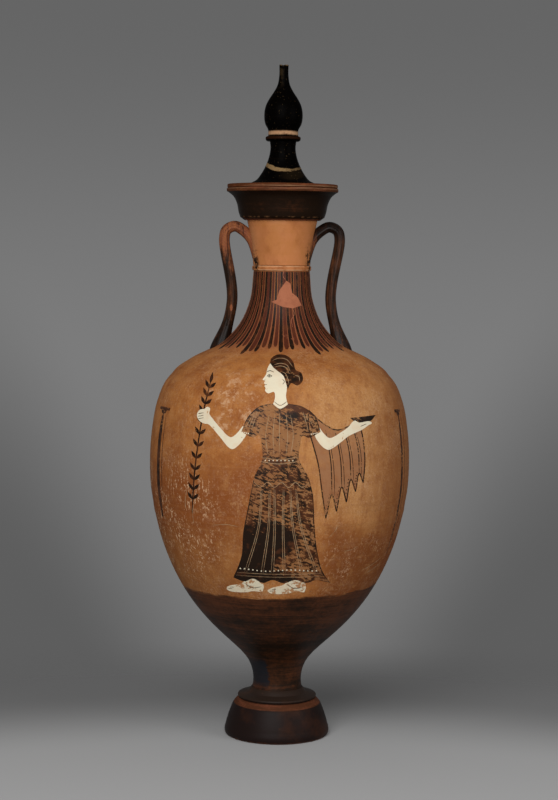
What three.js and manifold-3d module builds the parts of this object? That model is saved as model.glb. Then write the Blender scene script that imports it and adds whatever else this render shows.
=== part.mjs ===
// A tall lidded storage jar of painted clay: a turned foot, a wide body, a neck with a flared mouth,
// two looped handles and a lid that lifts off.
// Millimetres, +Z up, the origin in the middle of the ring that the foot stands on, the handles along X.
import * as THREE from "three";
import { mergeVertices } from "three/addons/utils/BufferGeometryUtils.js";
import Module from "manifold-3d";

// Foot: a turned disc, hollow below, with a bevelled band round its top
const FOOT_HEIGHT = 55;
const FOOT_REST_RADIUS = 74;
const FOOT_RADIUS = 78.4;
const FOOT_EDGE_HEIGHT = 6;
const FOOT_BAND_RADIUS = 65.2;
const FOOT_BAND_HEIGHT = 7.7;
const FOOT_TOP_RADIUS = 58.4;
const FOOT_RING_WIDTH = 14;
const FOOT_HOLLOW_DEPTH = 30;

// Fillet: the raised disc between the foot and the stem
const FILLET_RADIUS = 58.9;
const FILLET_HEIGHT = 16;
const FILLET_EDGE_HEIGHT = 4;
const FILLET_GROOVE_HEIGHT = 1.6;
const FILLET_GROOVE_DEPTH = 2.4;
const FILLET_TOP_WIDTH = 0.7;

// Body: radii and heights above the foot where its outline turns, and the wall's lean at two of them
const BODY_WALL = 8;
const BODY_HEIGHT = 644;
const STEM_BASE_RADIUS = 37.7;
const STEM_RADIUS = 36.35;
const STEM_HEIGHT = 25;
const BODY_FLOOR_HEIGHT = 49;
const BOWL_RADIUS = 104.3;
const BOWL_HEIGHT = 118.5;
const BOWL_LEAN = THREE.MathUtils.degToRad(46.2);
const BELLY_RADIUS = 193.6;
const BELLY_HEIGHT = 345.6;
const SHOULDER_RADIUS = 124.6;
const SHOULDER_HEIGHT = 514.4;
const SHOULDER_LEAN = THREE.MathUtils.degToRad(31.9);

// How far each stretch of the outline keeps its direction at its two ends, as shares of that stretch's rise
const STEM_PULLS = [0.433, 0.7];
const BELLY_PULLS = [0.46, 0.2];
const SHOULDER_PULLS = [0.84, 0.21];
const SWEEP_PULLS = [0.12, 0.82];

// Seams: how far below the widest belly and the shoulder's turn the sections join, and the rise of their bevels
const BELLY_SEAM_DROP = 48.6;
const SHOULDER_SEAM_DROP = 26.4;
const SEAM_BEVEL = 6;

// Neck, with the clay roll that beds in its joint with the body
const NECK_RADIUS = 42.2;
const NECK_HEIGHT = 70;
const NECK_TOP_RADIUS = 52;
const NECK_WALL = 8;
const NECK_FLARE = 0.55;
const RING_RADIUS = 43.6;
const RING_HEIGHT = 8;
const RING_BED_DEPTH = 3.5;
const RING_ROUND = 2;

// Mouth
const MOUTH_HEIGHT = 47.5;
const MOUTH_BASE_RADIUS = 55.8;
const MOUTH_ROLL_RADIUS = 64.5;
const MOUTH_ROLL_HEIGHT = 11;
const LIP_RADIUS = 82.5;
const LIP_HEIGHT = 6;
const LIP_ROUND = 2;
const MOUTH_WALL = 7;
const MOUTH_BORE_DEPTH = 26;
const MOUTH_CHAMFER = 6;

// Handles: an oval strap that leaves the neck, arches below the mouth and spreads onto the shoulder
const HANDLE_DEPTH = 16;
const HANDLE_WIDTH = 22;
const HANDLE_GROOVE = 1.3;
const HANDLE_TAIL_HEIGHT = 8;
const HANDLE_TAIL_SINK = 1;
const HANDLE_LEG_HEIGHT = 38;
const HANDLE_LEG_PROUD = 6.5;
const HANDLE_REACH = 85.5;
const HANDLE_ARCH_RADIUS = 15.5;
const HANDLE_ARCH_DROP = 9;
const HANDLE_ARCH_TURNS = [140, 90, 40, -10];
const HANDLE_WAIST_RADIUS = 73;
const HANDLE_WAIST_DROP = 47;
const HANDLE_ROOT_RADIUS = 92;
const HANDLE_ROOT_BURY = 14;
const HANDLE_ROOT_DEPTH = 30;
const HANDLE_ROOT_WIDTH = 34;
const HANDLE_FLARE_START = 0.74;

// Lid
const LID_RADIUS = 81.5;
const LID_EDGE_HEIGHT = 5.5;
const LID_EDGE_ROUND = 1.5;
const LID_THICKNESS = 7;
const LID_FLANGE_DEPTH = 22;
const LID_FLANGE_WALL = 7;
const LID_FLANGE_PLAY = 1.5;
const LID_FLANGE_TAPER = 1;
const LID_STEM_HEIGHT = 61.5;
const LID_STEM_BASE_RADIUS = 46;
const LID_STEM_EDGE = 1;
const LID_STEM_RADIUS = 18.6;
const LID_STEM_WAIST_HEIGHT = 52;
const LID_STEM_TOP_RADIUS = 19.5;
const LID_HOLLOW_RADIUS = 24;
const LID_BORE_RADIUS = 9;
const COLLAR_RADIUS = 26;
const COLLAR_HEIGHT = 7.5;
const COLLAR_ROUND = 2.5;
const KNOB_HEIGHT = 104.5;
const KNOB_NECK_RADIUS = 22.2;
const KNOB_NECK_HEIGHT = 8.5;
const KNOB_RADIUS = 28.4;
const KNOB_BULB_HEIGHT = 31.5;
const KNOB_SHANK_RADIUS = 6.95;
const KNOB_SHANK_HEIGHT = 87.8;
const KNOB_TIP_RADIUS = 6.8;
const KNOB_WALL = 6;
const KNOB_VENT_RADIUS = 3.2;

// Gap between a fitted piece and its seat, and how finely curves are cut into flats
const CLEARANCE = 0.3;
const JAR_FACETS = 40;
const LID_FACETS = 32;
const WALL_STEPS = 6;
const EDGE_STEPS = 2;
const CURVE_STEP = 12;
const HANDLE_SIDES = 12;
const HANDLE_STEPS = 32;

// Heights of the joints between the stacked pieces
const bodyTop = FOOT_HEIGHT + BODY_HEIGHT;
const mouthBase = bodyTop + NECK_HEIGHT;
const rimHeight = mouthBase + MOUTH_HEIGHT;
const ringBedHeight = bodyTop - RING_HEIGHT / 2;
const ringBedRadius = NECK_RADIUS - RING_BED_DEPTH;
const neckBore = NECK_RADIUS - NECK_WALL;
const mouthThroat = NECK_TOP_RADIUS - NECK_WALL;
const mouthBore = MOUTH_ROLL_RADIUS - MOUTH_WALL;

const wasm = await Module();
wasm.setup();

const at = (radius, height) => new THREE.Vector2(radius, height);

// The points of a drawn outline: the ends of its straight stretches, and its curves in even steps.
function pointsOf(path) {
  const points = [path.curves[0].getPoint(0)];
  for (const curve of path.curves) {
    const steps = curve.isLineCurve ? 1 : Math.max(EDGE_STEPS, Math.round(curve.getLength() / CURVE_STEP));
    points.push(...curve.getPoints(steps).slice(1));
  }
  return points;
}

// A solid of revolution about Z from a closed outline of radius and height.
function turned(outline, facets) {
  const closed = [...outline, outline[0].clone()];
  const onAxis = outline[0].x === 0;
  return new THREE.LatheGeometry(onAxis ? outline : closed, facets).rotateX(Math.PI / 2);
}

// A closed mesh as a solid that can be cut.
function solidOf(geometry) {
  const bare = new THREE.BufferGeometry();
  bare.setAttribute("position", geometry.getAttribute("position"));
  bare.setIndex(geometry.getIndex());
  const merged = mergeVertices(bare, 1e-3);
  return new wasm.Manifold(
    new wasm.Mesh({
      numProp: 3,
      vertProperties: merged.getAttribute("position").array,
      triVerts: new Uint32Array(merged.getIndex().array),
    }),
  );
}

// A cut solid as a mesh's geometry.
function geometryOf(solid) {
  const { vertProperties, triVerts } = solid.getMesh();
  const geometry = new THREE.BufferGeometry();
  geometry.setAttribute("position", new THREE.BufferAttribute(vertProperties, 3));
  geometry.setIndex(new THREE.BufferAttribute(triVerts, 1));
  geometry.computeVertexNormals();
  return geometry;
}

// One stretch of the body's outline between two points and directions, with its pulls as shares of the rise.
function stretch(start, leave, end, arrive, pulls) {
  const rise = end.y - start.y;
  return new THREE.CubicBezierCurve(
    start,
    start.clone().addScaledVector(leave, pulls[0] * rise),
    end.clone().addScaledVector(arrive, -pulls[1] * rise),
    end,
  );
}

// The body's outer wall from the stem's waist to the neck, and its inner wall, one thickness further in.
function bodyWalls() {
  const up = at(0, 1);
  const bowlLean = at(Math.cos(BOWL_LEAN), Math.sin(BOWL_LEAN));
  const shoulderLean = at(-Math.cos(SHOULDER_LEAN), Math.sin(SHOULDER_LEAN));
  const waist = at(STEM_RADIUS, FOOT_HEIGHT + STEM_HEIGHT);
  const bowl = at(BOWL_RADIUS, FOOT_HEIGHT + BOWL_HEIGHT);
  const belly = at(BELLY_RADIUS, FOOT_HEIGHT + BELLY_HEIGHT);
  const shoulder = at(SHOULDER_RADIUS, FOOT_HEIGHT + SHOULDER_HEIGHT);
  const neck = at(NECK_RADIUS, ringBedHeight);
  const stretches = [
    stretch(waist, up, bowl, bowlLean, STEM_PULLS),
    stretch(bowl, bowlLean, belly, up, BELLY_PULLS),
    stretch(belly, up, shoulder, shoulderLean, SHOULDER_PULLS),
    stretch(shoulder, shoulderLean, neck, up, SWEEP_PULLS),
  ];
  const outer = [waist];
  const inner = [waist.clone().add(at(-BODY_WALL, 0))];
  for (const curve of stretches) {
    for (let step = 1; step <= WALL_STEPS; step++) {
      const point = curve.getPoint(step / WALL_STEPS);
      const along = curve.getTangent(step / WALL_STEPS);
      outer.push(point);
      inner.push(point.clone().add(at(-along.y, along.x).multiplyScalar(BODY_WALL)));
    }
  }
  return { outer, inner };
}

// A rising line parted at a height, with the point at that height in both parts.
function parted(line, height) {
  const next = line.findIndex((point) => point.y > height);
  const before = line[next - 1];
  const cut = before.clone().lerp(line[next], (height - before.y) / (line[next].y - before.y));
  const below = line.slice(0, next).filter((point) => point.y < height);
  return [[...below, cut], [cut, ...line.slice(next)]];
}

// The wall parted at a seam: the bevelled joint is square to the wall and then rises towards the inside.
function seamed({ outer, inner }, height) {
  const [outerBelow, outerAbove] = parted(outer, height);
  const seam = outerAbove[0];
  const along = outerAbove[1].clone().sub(seam).normalize();
  const innerHeight = seam.y + BODY_WALL * along.x + SEAM_BEVEL;
  const [innerBelow, innerAbove] = parted(inner, innerHeight);
  return [
    { outer: outerBelow, inner: innerBelow },
    { outer: outerAbove, inner: innerAbove },
  ];
}

const walls = bodyWalls();
const [lowerWall, aboveBelly] = seamed(walls, FOOT_HEIGHT + BELLY_HEIGHT - BELLY_SEAM_DROP);
const [upperWall, shoulderWall] = seamed(aboveBelly, FOOT_HEIGHT + SHOULDER_HEIGHT - SHOULDER_SEAM_DROP);

function footOutline() {
  const bandFoot = FOOT_HEIGHT - FOOT_BAND_HEIGHT;
  const ringInner = FOOT_REST_RADIUS - FOOT_RING_WIDTH;
  const path = new THREE.Path();
  path.moveTo(0, FOOT_HOLLOW_DEPTH);
  path.quadraticCurveTo(ringInner, FOOT_HOLLOW_DEPTH, ringInner, 0);
  path.lineTo(FOOT_REST_RADIUS, 0);
  path.quadraticCurveTo(FOOT_RADIUS, 0, FOOT_RADIUS, FOOT_EDGE_HEIGHT);
  path.quadraticCurveTo(
    (3 * FOOT_RADIUS + FOOT_BAND_RADIUS) / 4,
    (FOOT_EDGE_HEIGHT + bandFoot) / 2,
    FOOT_BAND_RADIUS,
    bandFoot,
  );
  path.lineTo(FOOT_TOP_RADIUS, FOOT_HEIGHT);
  path.lineTo(0, FOOT_HEIGHT);
  return pointsOf(path);
}

function filletOutline() {
  const bore = STEM_BASE_RADIUS + CLEARANCE;
  const edgeFoot = FOOT_HEIGHT + FILLET_GROOVE_HEIGHT;
  const edgeTop = edgeFoot + FILLET_EDGE_HEIGHT;
  const grooveRadius = FILLET_RADIUS - FILLET_GROOVE_DEPTH;
  const top = FOOT_HEIGHT + FILLET_HEIGHT;
  const path = new THREE.Path();
  path.moveTo(bore, FOOT_HEIGHT);
  path.lineTo(grooveRadius, FOOT_HEIGHT);
  path.lineTo(grooveRadius, edgeFoot);
  path.quadraticCurveTo(FILLET_RADIUS, edgeFoot, FILLET_RADIUS, (edgeFoot + edgeTop) / 2);
  path.quadraticCurveTo(FILLET_RADIUS, edgeTop, grooveRadius, edgeTop);
  path.quadraticCurveTo(bore + 2 * FILLET_TOP_WIDTH, (5 * edgeTop + top) / 6, bore + FILLET_TOP_WIDTH, top);
  path.lineTo(bore, top);
  return pointsOf(path);
}

function lowerBodyOutline() {
  const stem = [at(0, FOOT_HEIGHT), at(STEM_BASE_RADIUS, FOOT_HEIGHT)];
  stem.push(at(STEM_BASE_RADIUS, FOOT_HEIGHT + FILLET_HEIGHT));
  const floor = FOOT_HEIGHT + BODY_FLOOR_HEIGHT;
  const inside = parted(lowerWall.inner, floor + BODY_WALL)[1].reverse();
  const floorPath = new THREE.Path();
  floorPath.moveTo(inside.at(-1).x, inside.at(-1).y);
  floorPath.quadraticCurveTo(inside.at(-1).x, floor, 0, floor);
  return [...stem, ...lowerWall.outer, ...inside, ...pointsOf(floorPath).slice(1)];
}

function upperBodyOutline() {
  return [...upperWall.outer, ...upperWall.inner.toReversed()];
}

function shoulderOutline() {
  const inside = shoulderWall.inner.slice(0, -1).toReversed();
  const joint = [at(ringBedRadius, ringBedHeight), at(ringBedRadius, bodyTop), at(neckBore, bodyTop)];
  return [...shoulderWall.outer, ...joint, at(neckBore, ringBedHeight), ...inside];
}

function ringOutline() {
  const inside = ringBedRadius + CLEARANCE;
  const top = ringBedHeight + RING_HEIGHT - CLEARANCE;
  const path = new THREE.Path();
  path.moveTo(inside, ringBedHeight);
  path.lineTo(RING_RADIUS - RING_ROUND, ringBedHeight);
  path.quadraticCurveTo(RING_RADIUS, ringBedHeight, RING_RADIUS, ringBedHeight + RING_ROUND);
  path.lineTo(RING_RADIUS, top - RING_ROUND);
  path.quadraticCurveTo(RING_RADIUS, top, RING_RADIUS - RING_ROUND, top);
  path.lineTo(inside, top);
  return pointsOf(path);
}

// The neck's outer side, which flares slowly and then faster towards the mouth.
function neckSide(inset) {
  const foot = ringBedHeight + RING_HEIGHT;
  return new THREE.QuadraticBezierCurve(
    at(NECK_RADIUS - inset, foot),
    at(NECK_RADIUS + (NECK_TOP_RADIUS - NECK_RADIUS) / 4 - inset, foot + NECK_FLARE * (mouthBase - foot)),
    at(NECK_TOP_RADIUS - inset, mouthBase),
  );
}

function neckOutline() {
  const outside = neckSide(0).getPoints(EDGE_STEPS + 1);
  const inside = neckSide(NECK_WALL).getPoints(EDGE_STEPS + 1).reverse();
  const joint = [at(neckBore, bodyTop), at(ringBedRadius, bodyTop)];
  return [...joint, at(ringBedRadius, ringBedHeight + RING_HEIGHT), ...outside, ...inside];
}

// The mouth's outer side: a roll over the neck, a hollow sweep and a rounded lip.
function drawMouthSide(path) {
  const lipFoot = rimHeight - LIP_HEIGHT;
  const rollTop = mouthBase + MOUTH_ROLL_HEIGHT;
  path.lineTo(MOUTH_BASE_RADIUS, mouthBase);
  path.quadraticCurveTo(MOUTH_ROLL_RADIUS, mouthBase + MOUTH_ROLL_HEIGHT / 3, MOUTH_ROLL_RADIUS, rollTop);
  const sweepRadius = (5 * MOUTH_ROLL_RADIUS + LIP_RADIUS) / 6;
  path.quadraticCurveTo(sweepRadius, lipFoot - LIP_HEIGHT, LIP_RADIUS - LIP_ROUND, lipFoot);
  path.quadraticCurveTo(LIP_RADIUS, lipFoot, LIP_RADIUS, lipFoot + LIP_ROUND);
  path.lineTo(LIP_RADIUS, rimHeight - LIP_ROUND);
  path.quadraticCurveTo(LIP_RADIUS, rimHeight, LIP_RADIUS - LIP_ROUND, rimHeight);
}

function mouthOutline() {
  const boreFoot = rimHeight - MOUTH_BORE_DEPTH;
  const path = new THREE.Path();
  path.moveTo(mouthThroat, mouthBase);
  drawMouthSide(path);
  path.lineTo(mouthBore + MOUTH_CHAMFER, rimHeight);
  path.lineTo(mouthBore, rimHeight - MOUTH_CHAMFER);
  path.lineTo(mouthBore, boreFoot);
  path.quadraticCurveTo(mouthBore, (boreFoot + mouthBase) / 2, mouthThroat, mouthBase);
  return pointsOf(path).slice(0, -1);
}

// What the handles must not enter: the body, ring, neck and mouth, filled and grown by the clearance.
function handleKeepOut() {
  const mouth = new THREE.Path();
  mouth.moveTo(NECK_TOP_RADIUS, mouthBase);
  drawMouthSide(mouth);
  const outside = [
    ...walls.outer,
    at(RING_RADIUS, ringBedHeight),
    at(RING_RADIUS, ringBedHeight + RING_HEIGHT),
    ...neckSide(0).getPoints(EDGE_STEPS + 1),
    ...pointsOf(mouth).slice(1),
  ];
  const grown = outside.map((point, index) => {
    const before = outside[Math.max(index - 1, 0)];
    const after = outside[Math.min(index + 1, outside.length - 1)];
    const along = after.clone().sub(before).normalize();
    return point.clone().add(at(along.y, -along.x).multiplyScalar(CLEARANCE));
  });
  return [at(0, grown[0].y), ...grown, at(0, grown.at(-1).y)];
}

// The height of the shoulder's outer side at a radius, found from the neck downwards.
function shoulderHeightAt(radius) {
  const falling = walls.outer.toReversed();
  const next = falling.findIndex((point) => point.x > radius);
  const before = falling[next - 1];
  const share = (radius - before.x) / (falling[next].x - before.x);
  return THREE.MathUtils.lerp(before.y, falling[next].y, share);
}

// A handle's middle line in the XZ plane: tail and leg on the neck, arch, waist and root on the shoulder.
function handleLine() {
  const half = HANDLE_DEPTH / 2;
  const besideLeg = neckSide(0).getPoint(HANDLE_LEG_HEIGHT / NECK_HEIGHT);
  const archHeight = mouthBase - HANDLE_ARCH_DROP - HANDLE_ARCH_RADIUS;
  const archRadius = HANDLE_REACH - HANDLE_ARCH_RADIUS;
  const arch = HANDLE_ARCH_TURNS.map((degrees) => {
    const turn = THREE.MathUtils.degToRad(degrees);
    const reach = at(Math.cos(turn), Math.sin(turn)).multiplyScalar(HANDLE_ARCH_RADIUS);
    return at(archRadius, archHeight).add(reach);
  });
  const points = [
    at(NECK_RADIUS - HANDLE_TAIL_SINK - half, bodyTop + HANDLE_TAIL_HEIGHT),
    at(besideLeg.x + HANDLE_LEG_PROUD - half, besideLeg.y),
    ...arch,
    at(HANDLE_WAIST_RADIUS, bodyTop - HANDLE_WAIST_DROP),
    at(HANDLE_ROOT_RADIUS, shoulderHeightAt(HANDLE_ROOT_RADIUS) - HANDLE_ROOT_BURY),
  ];
  return new THREE.CatmullRomCurve3(points.map((point) => new THREE.Vector3(point.x, 0, point.y)));
}

// The oval strap lofted along the handle's line, wider and deeper towards its root.
function handleLoft() {
  const line = handleLine();
  const positions = [];
  const index = [];
  for (let step = 0; step <= HANDLE_STEPS; step++) {
    const along = step / HANDLE_STEPS;
    const centre = line.getPointAt(along);
    const tangent = line.getTangentAt(along);
    const flare = THREE.MathUtils.smoothstep(along, HANDLE_FLARE_START, 1) ** 2;
    const depth = THREE.MathUtils.lerp(HANDLE_DEPTH, HANDLE_ROOT_DEPTH, flare) / 2;
    const width = THREE.MathUtils.lerp(HANDLE_WIDTH, HANDLE_ROOT_WIDTH, flare) / 2;
    for (let side = 0; side < HANDLE_SIDES; side++) {
      const turn = (2 * Math.PI * side) / HANDLE_SIDES;
      const groove = side % (HANDLE_SIDES / 2) === HANDLE_SIDES / 4 ? HANDLE_GROOVE : 0;
      const out = depth * Math.cos(turn);
      const across = (width - groove) * Math.sin(turn);
      positions.push(centre.x - tangent.z * out, across, centre.z + tangent.x * out);
    }
  }
  const ends = [line.getPointAt(0), line.getPointAt(1)];
  ends.forEach((end) => positions.push(...end.toArray()));
  const tail = (HANDLE_STEPS + 1) * HANDLE_SIDES;
  const root = tail + 1;
  const last = HANDLE_STEPS * HANDLE_SIDES;
  for (let side = 0; side < HANDLE_SIDES; side++) {
    const next = (side + 1) % HANDLE_SIDES;
    for (let step = 0; step < HANDLE_STEPS; step++) {
      const low = step * HANDLE_SIDES;
      const high = low + HANDLE_SIDES;
      index.push(low + side, high + side, low + next, low + next, high + side, high + next);
    }
    index.push(tail, side, next, root, last + next, last + side);
  }
  const geometry = new THREE.BufferGeometry();
  geometry.setAttribute("position", new THREE.Float32BufferAttribute(positions, 3));
  geometry.setIndex(index);
  return geometry;
}

// One handle on the +X side, coped to the neck and the shoulder that it is luted to.
function handleGeometry() {
  return geometryOf(solidOf(handleLoft()).subtract(solidOf(turned(handleKeepOut(), JAR_FACETS))));
}

// The lid's pieces are drawn from the plane of the rim that the lid rests on.
const lidStemFoot = LID_THICKNESS;
const collarFoot = lidStemFoot + LID_STEM_HEIGHT;
const knobFoot = collarFoot + COLLAR_HEIGHT;

function lidPlateOutline() {
  const path = new THREE.Path();
  path.moveTo(LID_HOLLOW_RADIUS, 0);
  path.lineTo(LID_RADIUS - LID_EDGE_ROUND, 0);
  path.quadraticCurveTo(LID_RADIUS, 0, LID_RADIUS, LID_EDGE_ROUND);
  path.lineTo(LID_RADIUS, LID_EDGE_HEIGHT - LID_EDGE_ROUND);
  path.quadraticCurveTo(LID_RADIUS, LID_EDGE_HEIGHT, LID_RADIUS - LID_EDGE_ROUND, LID_EDGE_HEIGHT);
  path.lineTo(LID_STEM_BASE_RADIUS + LID_EDGE_ROUND, LID_THICKNESS);
  path.lineTo(LID_HOLLOW_RADIUS, LID_THICKNESS);
  return pointsOf(path);
}

function lidFlangeOutline() {
  const outside = mouthBore - LID_FLANGE_PLAY;
  const inside = outside - LID_FLANGE_WALL;
  return [
    at(inside + LID_FLANGE_TAPER, -LID_FLANGE_DEPTH),
    at(outside - LID_FLANGE_TAPER, -LID_FLANGE_DEPTH),
    at(outside, -LID_FLANGE_DEPTH + LID_FLANGE_TAPER),
    at(outside, 0),
    at(inside, 0),
  ];
}

function lidStemOutline() {
  const edge = lidStemFoot + LID_STEM_EDGE;
  const waist = lidStemFoot + LID_STEM_WAIST_HEIGHT;
  const path = new THREE.Path();
  path.moveTo(LID_HOLLOW_RADIUS, lidStemFoot);
  path.lineTo(LID_STEM_BASE_RADIUS, lidStemFoot);
  path.lineTo(LID_STEM_BASE_RADIUS, edge);
  path.bezierCurveTo(
    (LID_STEM_RADIUS + 2 * LID_STEM_BASE_RADIUS) / 3,
    edge,
    LID_STEM_RADIUS,
    (2 * edge + 3 * waist) / 5,
    LID_STEM_RADIUS,
    waist,
  );
  path.lineTo(LID_STEM_TOP_RADIUS, collarFoot);
  path.lineTo(LID_BORE_RADIUS, collarFoot);
  path.lineTo(LID_BORE_RADIUS, waist);
  path.quadraticCurveTo(LID_BORE_RADIUS, (lidStemFoot + edge + waist) / 3, LID_HOLLOW_RADIUS, lidStemFoot);
  return pointsOf(path).slice(0, -1);
}

function collarOutline() {
  const path = new THREE.Path();
  path.moveTo(LID_BORE_RADIUS, collarFoot);
  path.lineTo(COLLAR_RADIUS - 2 * COLLAR_ROUND, collarFoot);
  path.quadraticCurveTo(COLLAR_RADIUS, collarFoot, COLLAR_RADIUS, (collarFoot + knobFoot) / 2);
  path.quadraticCurveTo(COLLAR_RADIUS, knobFoot, COLLAR_RADIUS - COLLAR_ROUND, knobFoot);
  path.lineTo(LID_BORE_RADIUS, knobFoot);
  return pointsOf(path);
}

function knobOutline() {
  const bulbFoot = knobFoot + KNOB_NECK_HEIGHT;
  const bulb = knobFoot + KNOB_BULB_HEIGHT;
  const shank = knobFoot + KNOB_SHANK_HEIGHT;
  const tip = knobFoot + KNOB_HEIGHT;
  const hollow = KNOB_RADIUS - KNOB_WALL;
  const hollowTop = (bulb + shank) / 2;
  const path = new THREE.Path();
  path.moveTo(LID_BORE_RADIUS, knobFoot);
  path.lineTo(KNOB_NECK_RADIUS, knobFoot);
  path.lineTo(KNOB_NECK_RADIUS, bulbFoot);
  path.quadraticCurveTo(KNOB_RADIUS, (2 * bulbFoot + bulb) / 3, KNOB_RADIUS, bulb);
  path.bezierCurveTo(
    KNOB_RADIUS,
    (5 * bulb + 4 * shank) / 9,
    KNOB_SHANK_RADIUS,
    (3 * bulb + 4 * shank) / 7,
    KNOB_SHANK_RADIUS,
    shank,
  );
  path.lineTo(KNOB_TIP_RADIUS, tip);
  path.lineTo(KNOB_VENT_RADIUS, tip);
  path.lineTo(KNOB_VENT_RADIUS, hollowTop);
  path.quadraticCurveTo(hollow, hollowTop, hollow, bulb);
  path.quadraticCurveTo(hollow, bulbFoot, LID_BORE_RADIUS, knobFoot);
  return pointsOf(path).slice(0, -1);
}

const clay = { color: 0xb4733f, roughness: 0.75, metalness: 0 };
const slip = { color: 0x2a211c, roughness: 0.45, metalness: 0 };

function piece(name, geometry, look) {
  const mesh = new THREE.Mesh(geometry, new THREE.MeshStandardMaterial(look));
  mesh.name = name;
  return mesh;
}

const turnedPiece = (name, outline, look, facets) => piece(name, turned(outline, facets), look);

const jar = new THREE.Group();
jar.add(
  turnedPiece("foot", footOutline(), slip, JAR_FACETS),
  turnedPiece("foot_fillet", filletOutline(), slip, JAR_FACETS),
  turnedPiece("lower_body", lowerBodyOutline(), slip, JAR_FACETS),
  turnedPiece("upper_body", upperBodyOutline(), clay, JAR_FACETS),
  turnedPiece("shoulder", shoulderOutline(), clay, JAR_FACETS),
  turnedPiece("neck_ring", ringOutline(), clay, JAR_FACETS),
  turnedPiece("neck", neckOutline(), clay, JAR_FACETS),
  turnedPiece("mouth", mouthOutline(), slip, JAR_FACETS),
);

// The handles face each other across the neck.
const handleShape = handleGeometry();
const handleRight = piece("handle_right", handleShape, slip);
const handleLeft = piece("handle_left", handleShape, slip);
handleLeft.rotation.z = Math.PI;
jar.add(handleRight, handleLeft);

const lid = new THREE.Group();
lid.position.z = rimHeight;
lid.add(
  turnedPiece("lid_plate", lidPlateOutline(), slip, LID_FACETS),
  turnedPiece("lid_flange", lidFlangeOutline(), clay, LID_FACETS),
  turnedPiece("lid_stem", lidStemOutline(), slip, LID_FACETS),
  turnedPiece("lid_collar", collarOutline(), slip, LID_FACETS),
  turnedPiece("lid_knob", knobOutline(), slip, LID_FACETS),
);

const amphora = new THREE.Group();
amphora.name = "amphora";
amphora.add(jar, lid);

export default amphora;
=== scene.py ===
"""The looks of a tall lidded jar of painted clay, dressed over its fixed frame of solids.

The file is laid out as an add-on and run as a script. Its operators throw the jar's pieces on the shapes
of the solids, paint them and set up a plain stage. Lengths are in metres, the painted front faces -Y and
+Z is up. A place on the jar is given by its turn, which is 0 at the front and grows to the right, and by
its height.
"""
import math
from functools import cached_property

import bmesh
import bpy
import numpy as np
from bpy.props import FloatProperty, FloatVectorProperty, IntProperty, PointerProperty
from mathutils import Matrix, Vector
from mathutils.geometry import delaunay_2d_cdt


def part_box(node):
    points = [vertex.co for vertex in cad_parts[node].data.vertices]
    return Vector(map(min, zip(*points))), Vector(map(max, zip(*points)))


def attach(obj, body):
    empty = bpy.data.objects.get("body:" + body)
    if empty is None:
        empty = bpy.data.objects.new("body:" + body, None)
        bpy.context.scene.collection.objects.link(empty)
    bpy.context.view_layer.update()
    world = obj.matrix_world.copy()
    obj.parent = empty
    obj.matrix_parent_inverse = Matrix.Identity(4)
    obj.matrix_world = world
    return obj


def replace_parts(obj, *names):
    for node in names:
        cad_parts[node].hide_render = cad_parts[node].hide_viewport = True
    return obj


bl_info = {
    "name": "Painted lidded jar",
    "version": (1, 0, 0),
    "blender": (4, 5, 0),
    "location": "View3D > Sidebar > Jar",
    "description": "Throws, paints and stages a tall lidded clay jar over its frame of solids",
    "category": "Add Mesh",
}

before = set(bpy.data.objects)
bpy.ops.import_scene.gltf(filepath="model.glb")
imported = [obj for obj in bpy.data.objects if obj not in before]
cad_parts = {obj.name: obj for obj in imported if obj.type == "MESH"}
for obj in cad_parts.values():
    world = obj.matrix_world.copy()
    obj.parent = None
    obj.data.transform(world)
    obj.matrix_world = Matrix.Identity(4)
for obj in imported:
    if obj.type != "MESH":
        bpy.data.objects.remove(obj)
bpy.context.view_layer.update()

MM = 0.001
JAR = "jar"
LID = "lid"
CLAY_SLOT = "clay"
SLIP_SLOT = "slip"

# Heights and radii of the jar's joints, from the solids
STEM_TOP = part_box("foot_fillet")[1].z
BELLY_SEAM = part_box("upper_body")[0].z
SHOULDER_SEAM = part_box("shoulder")[0].z
RING_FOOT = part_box("neck_ring")[0].z
RING_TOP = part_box("neck_ring")[1].z
NECK_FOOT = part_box("neck")[0].z
MOUTH_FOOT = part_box("mouth")[0].z
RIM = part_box("mouth")[1].z
LIP_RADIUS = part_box("mouth")[1].x
FOOT_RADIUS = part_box("foot")[1].x
FOOT_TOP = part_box("foot")[1].z
KNOB_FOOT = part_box("lid_knob")[0].z
KNOB_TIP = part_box("lid_knob")[1].z
LID_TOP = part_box("lid_plate")[1].z
LID_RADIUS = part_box("lid_plate")[1].x

# The thrown sections of the body from the stem up: node, lower and upper end, material slot
BODY_SECTIONS = (
    ("lower_body", STEM_TOP, BELLY_SEAM, SLIP_SLOT),
    ("upper_body", BELLY_SEAM, SHOULDER_SEAM, CLAY_SLOT),
    ("shoulder", SHOULDER_SEAM, RING_FOOT, CLAY_SLOT),
)


def length(name, description, millimetres):
    """A length property with its default in millimetres."""
    return FloatProperty(
        name=name, description=description, default=millimetres * MM, unit="LENGTH", precision=5
    )


def colour(name, description, value):
    """A colour property with a linear default."""
    return FloatVectorProperty(
        name=name, description=description, default=value, subtype="COLOR", size=3, min=0.0, max=1.0
    )


def angle(name, description, degrees):
    """An angle property with its default in degrees."""
    return FloatProperty(
        name=name, description=description, default=math.radians(degrees), subtype="ANGLE"
    )


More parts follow.
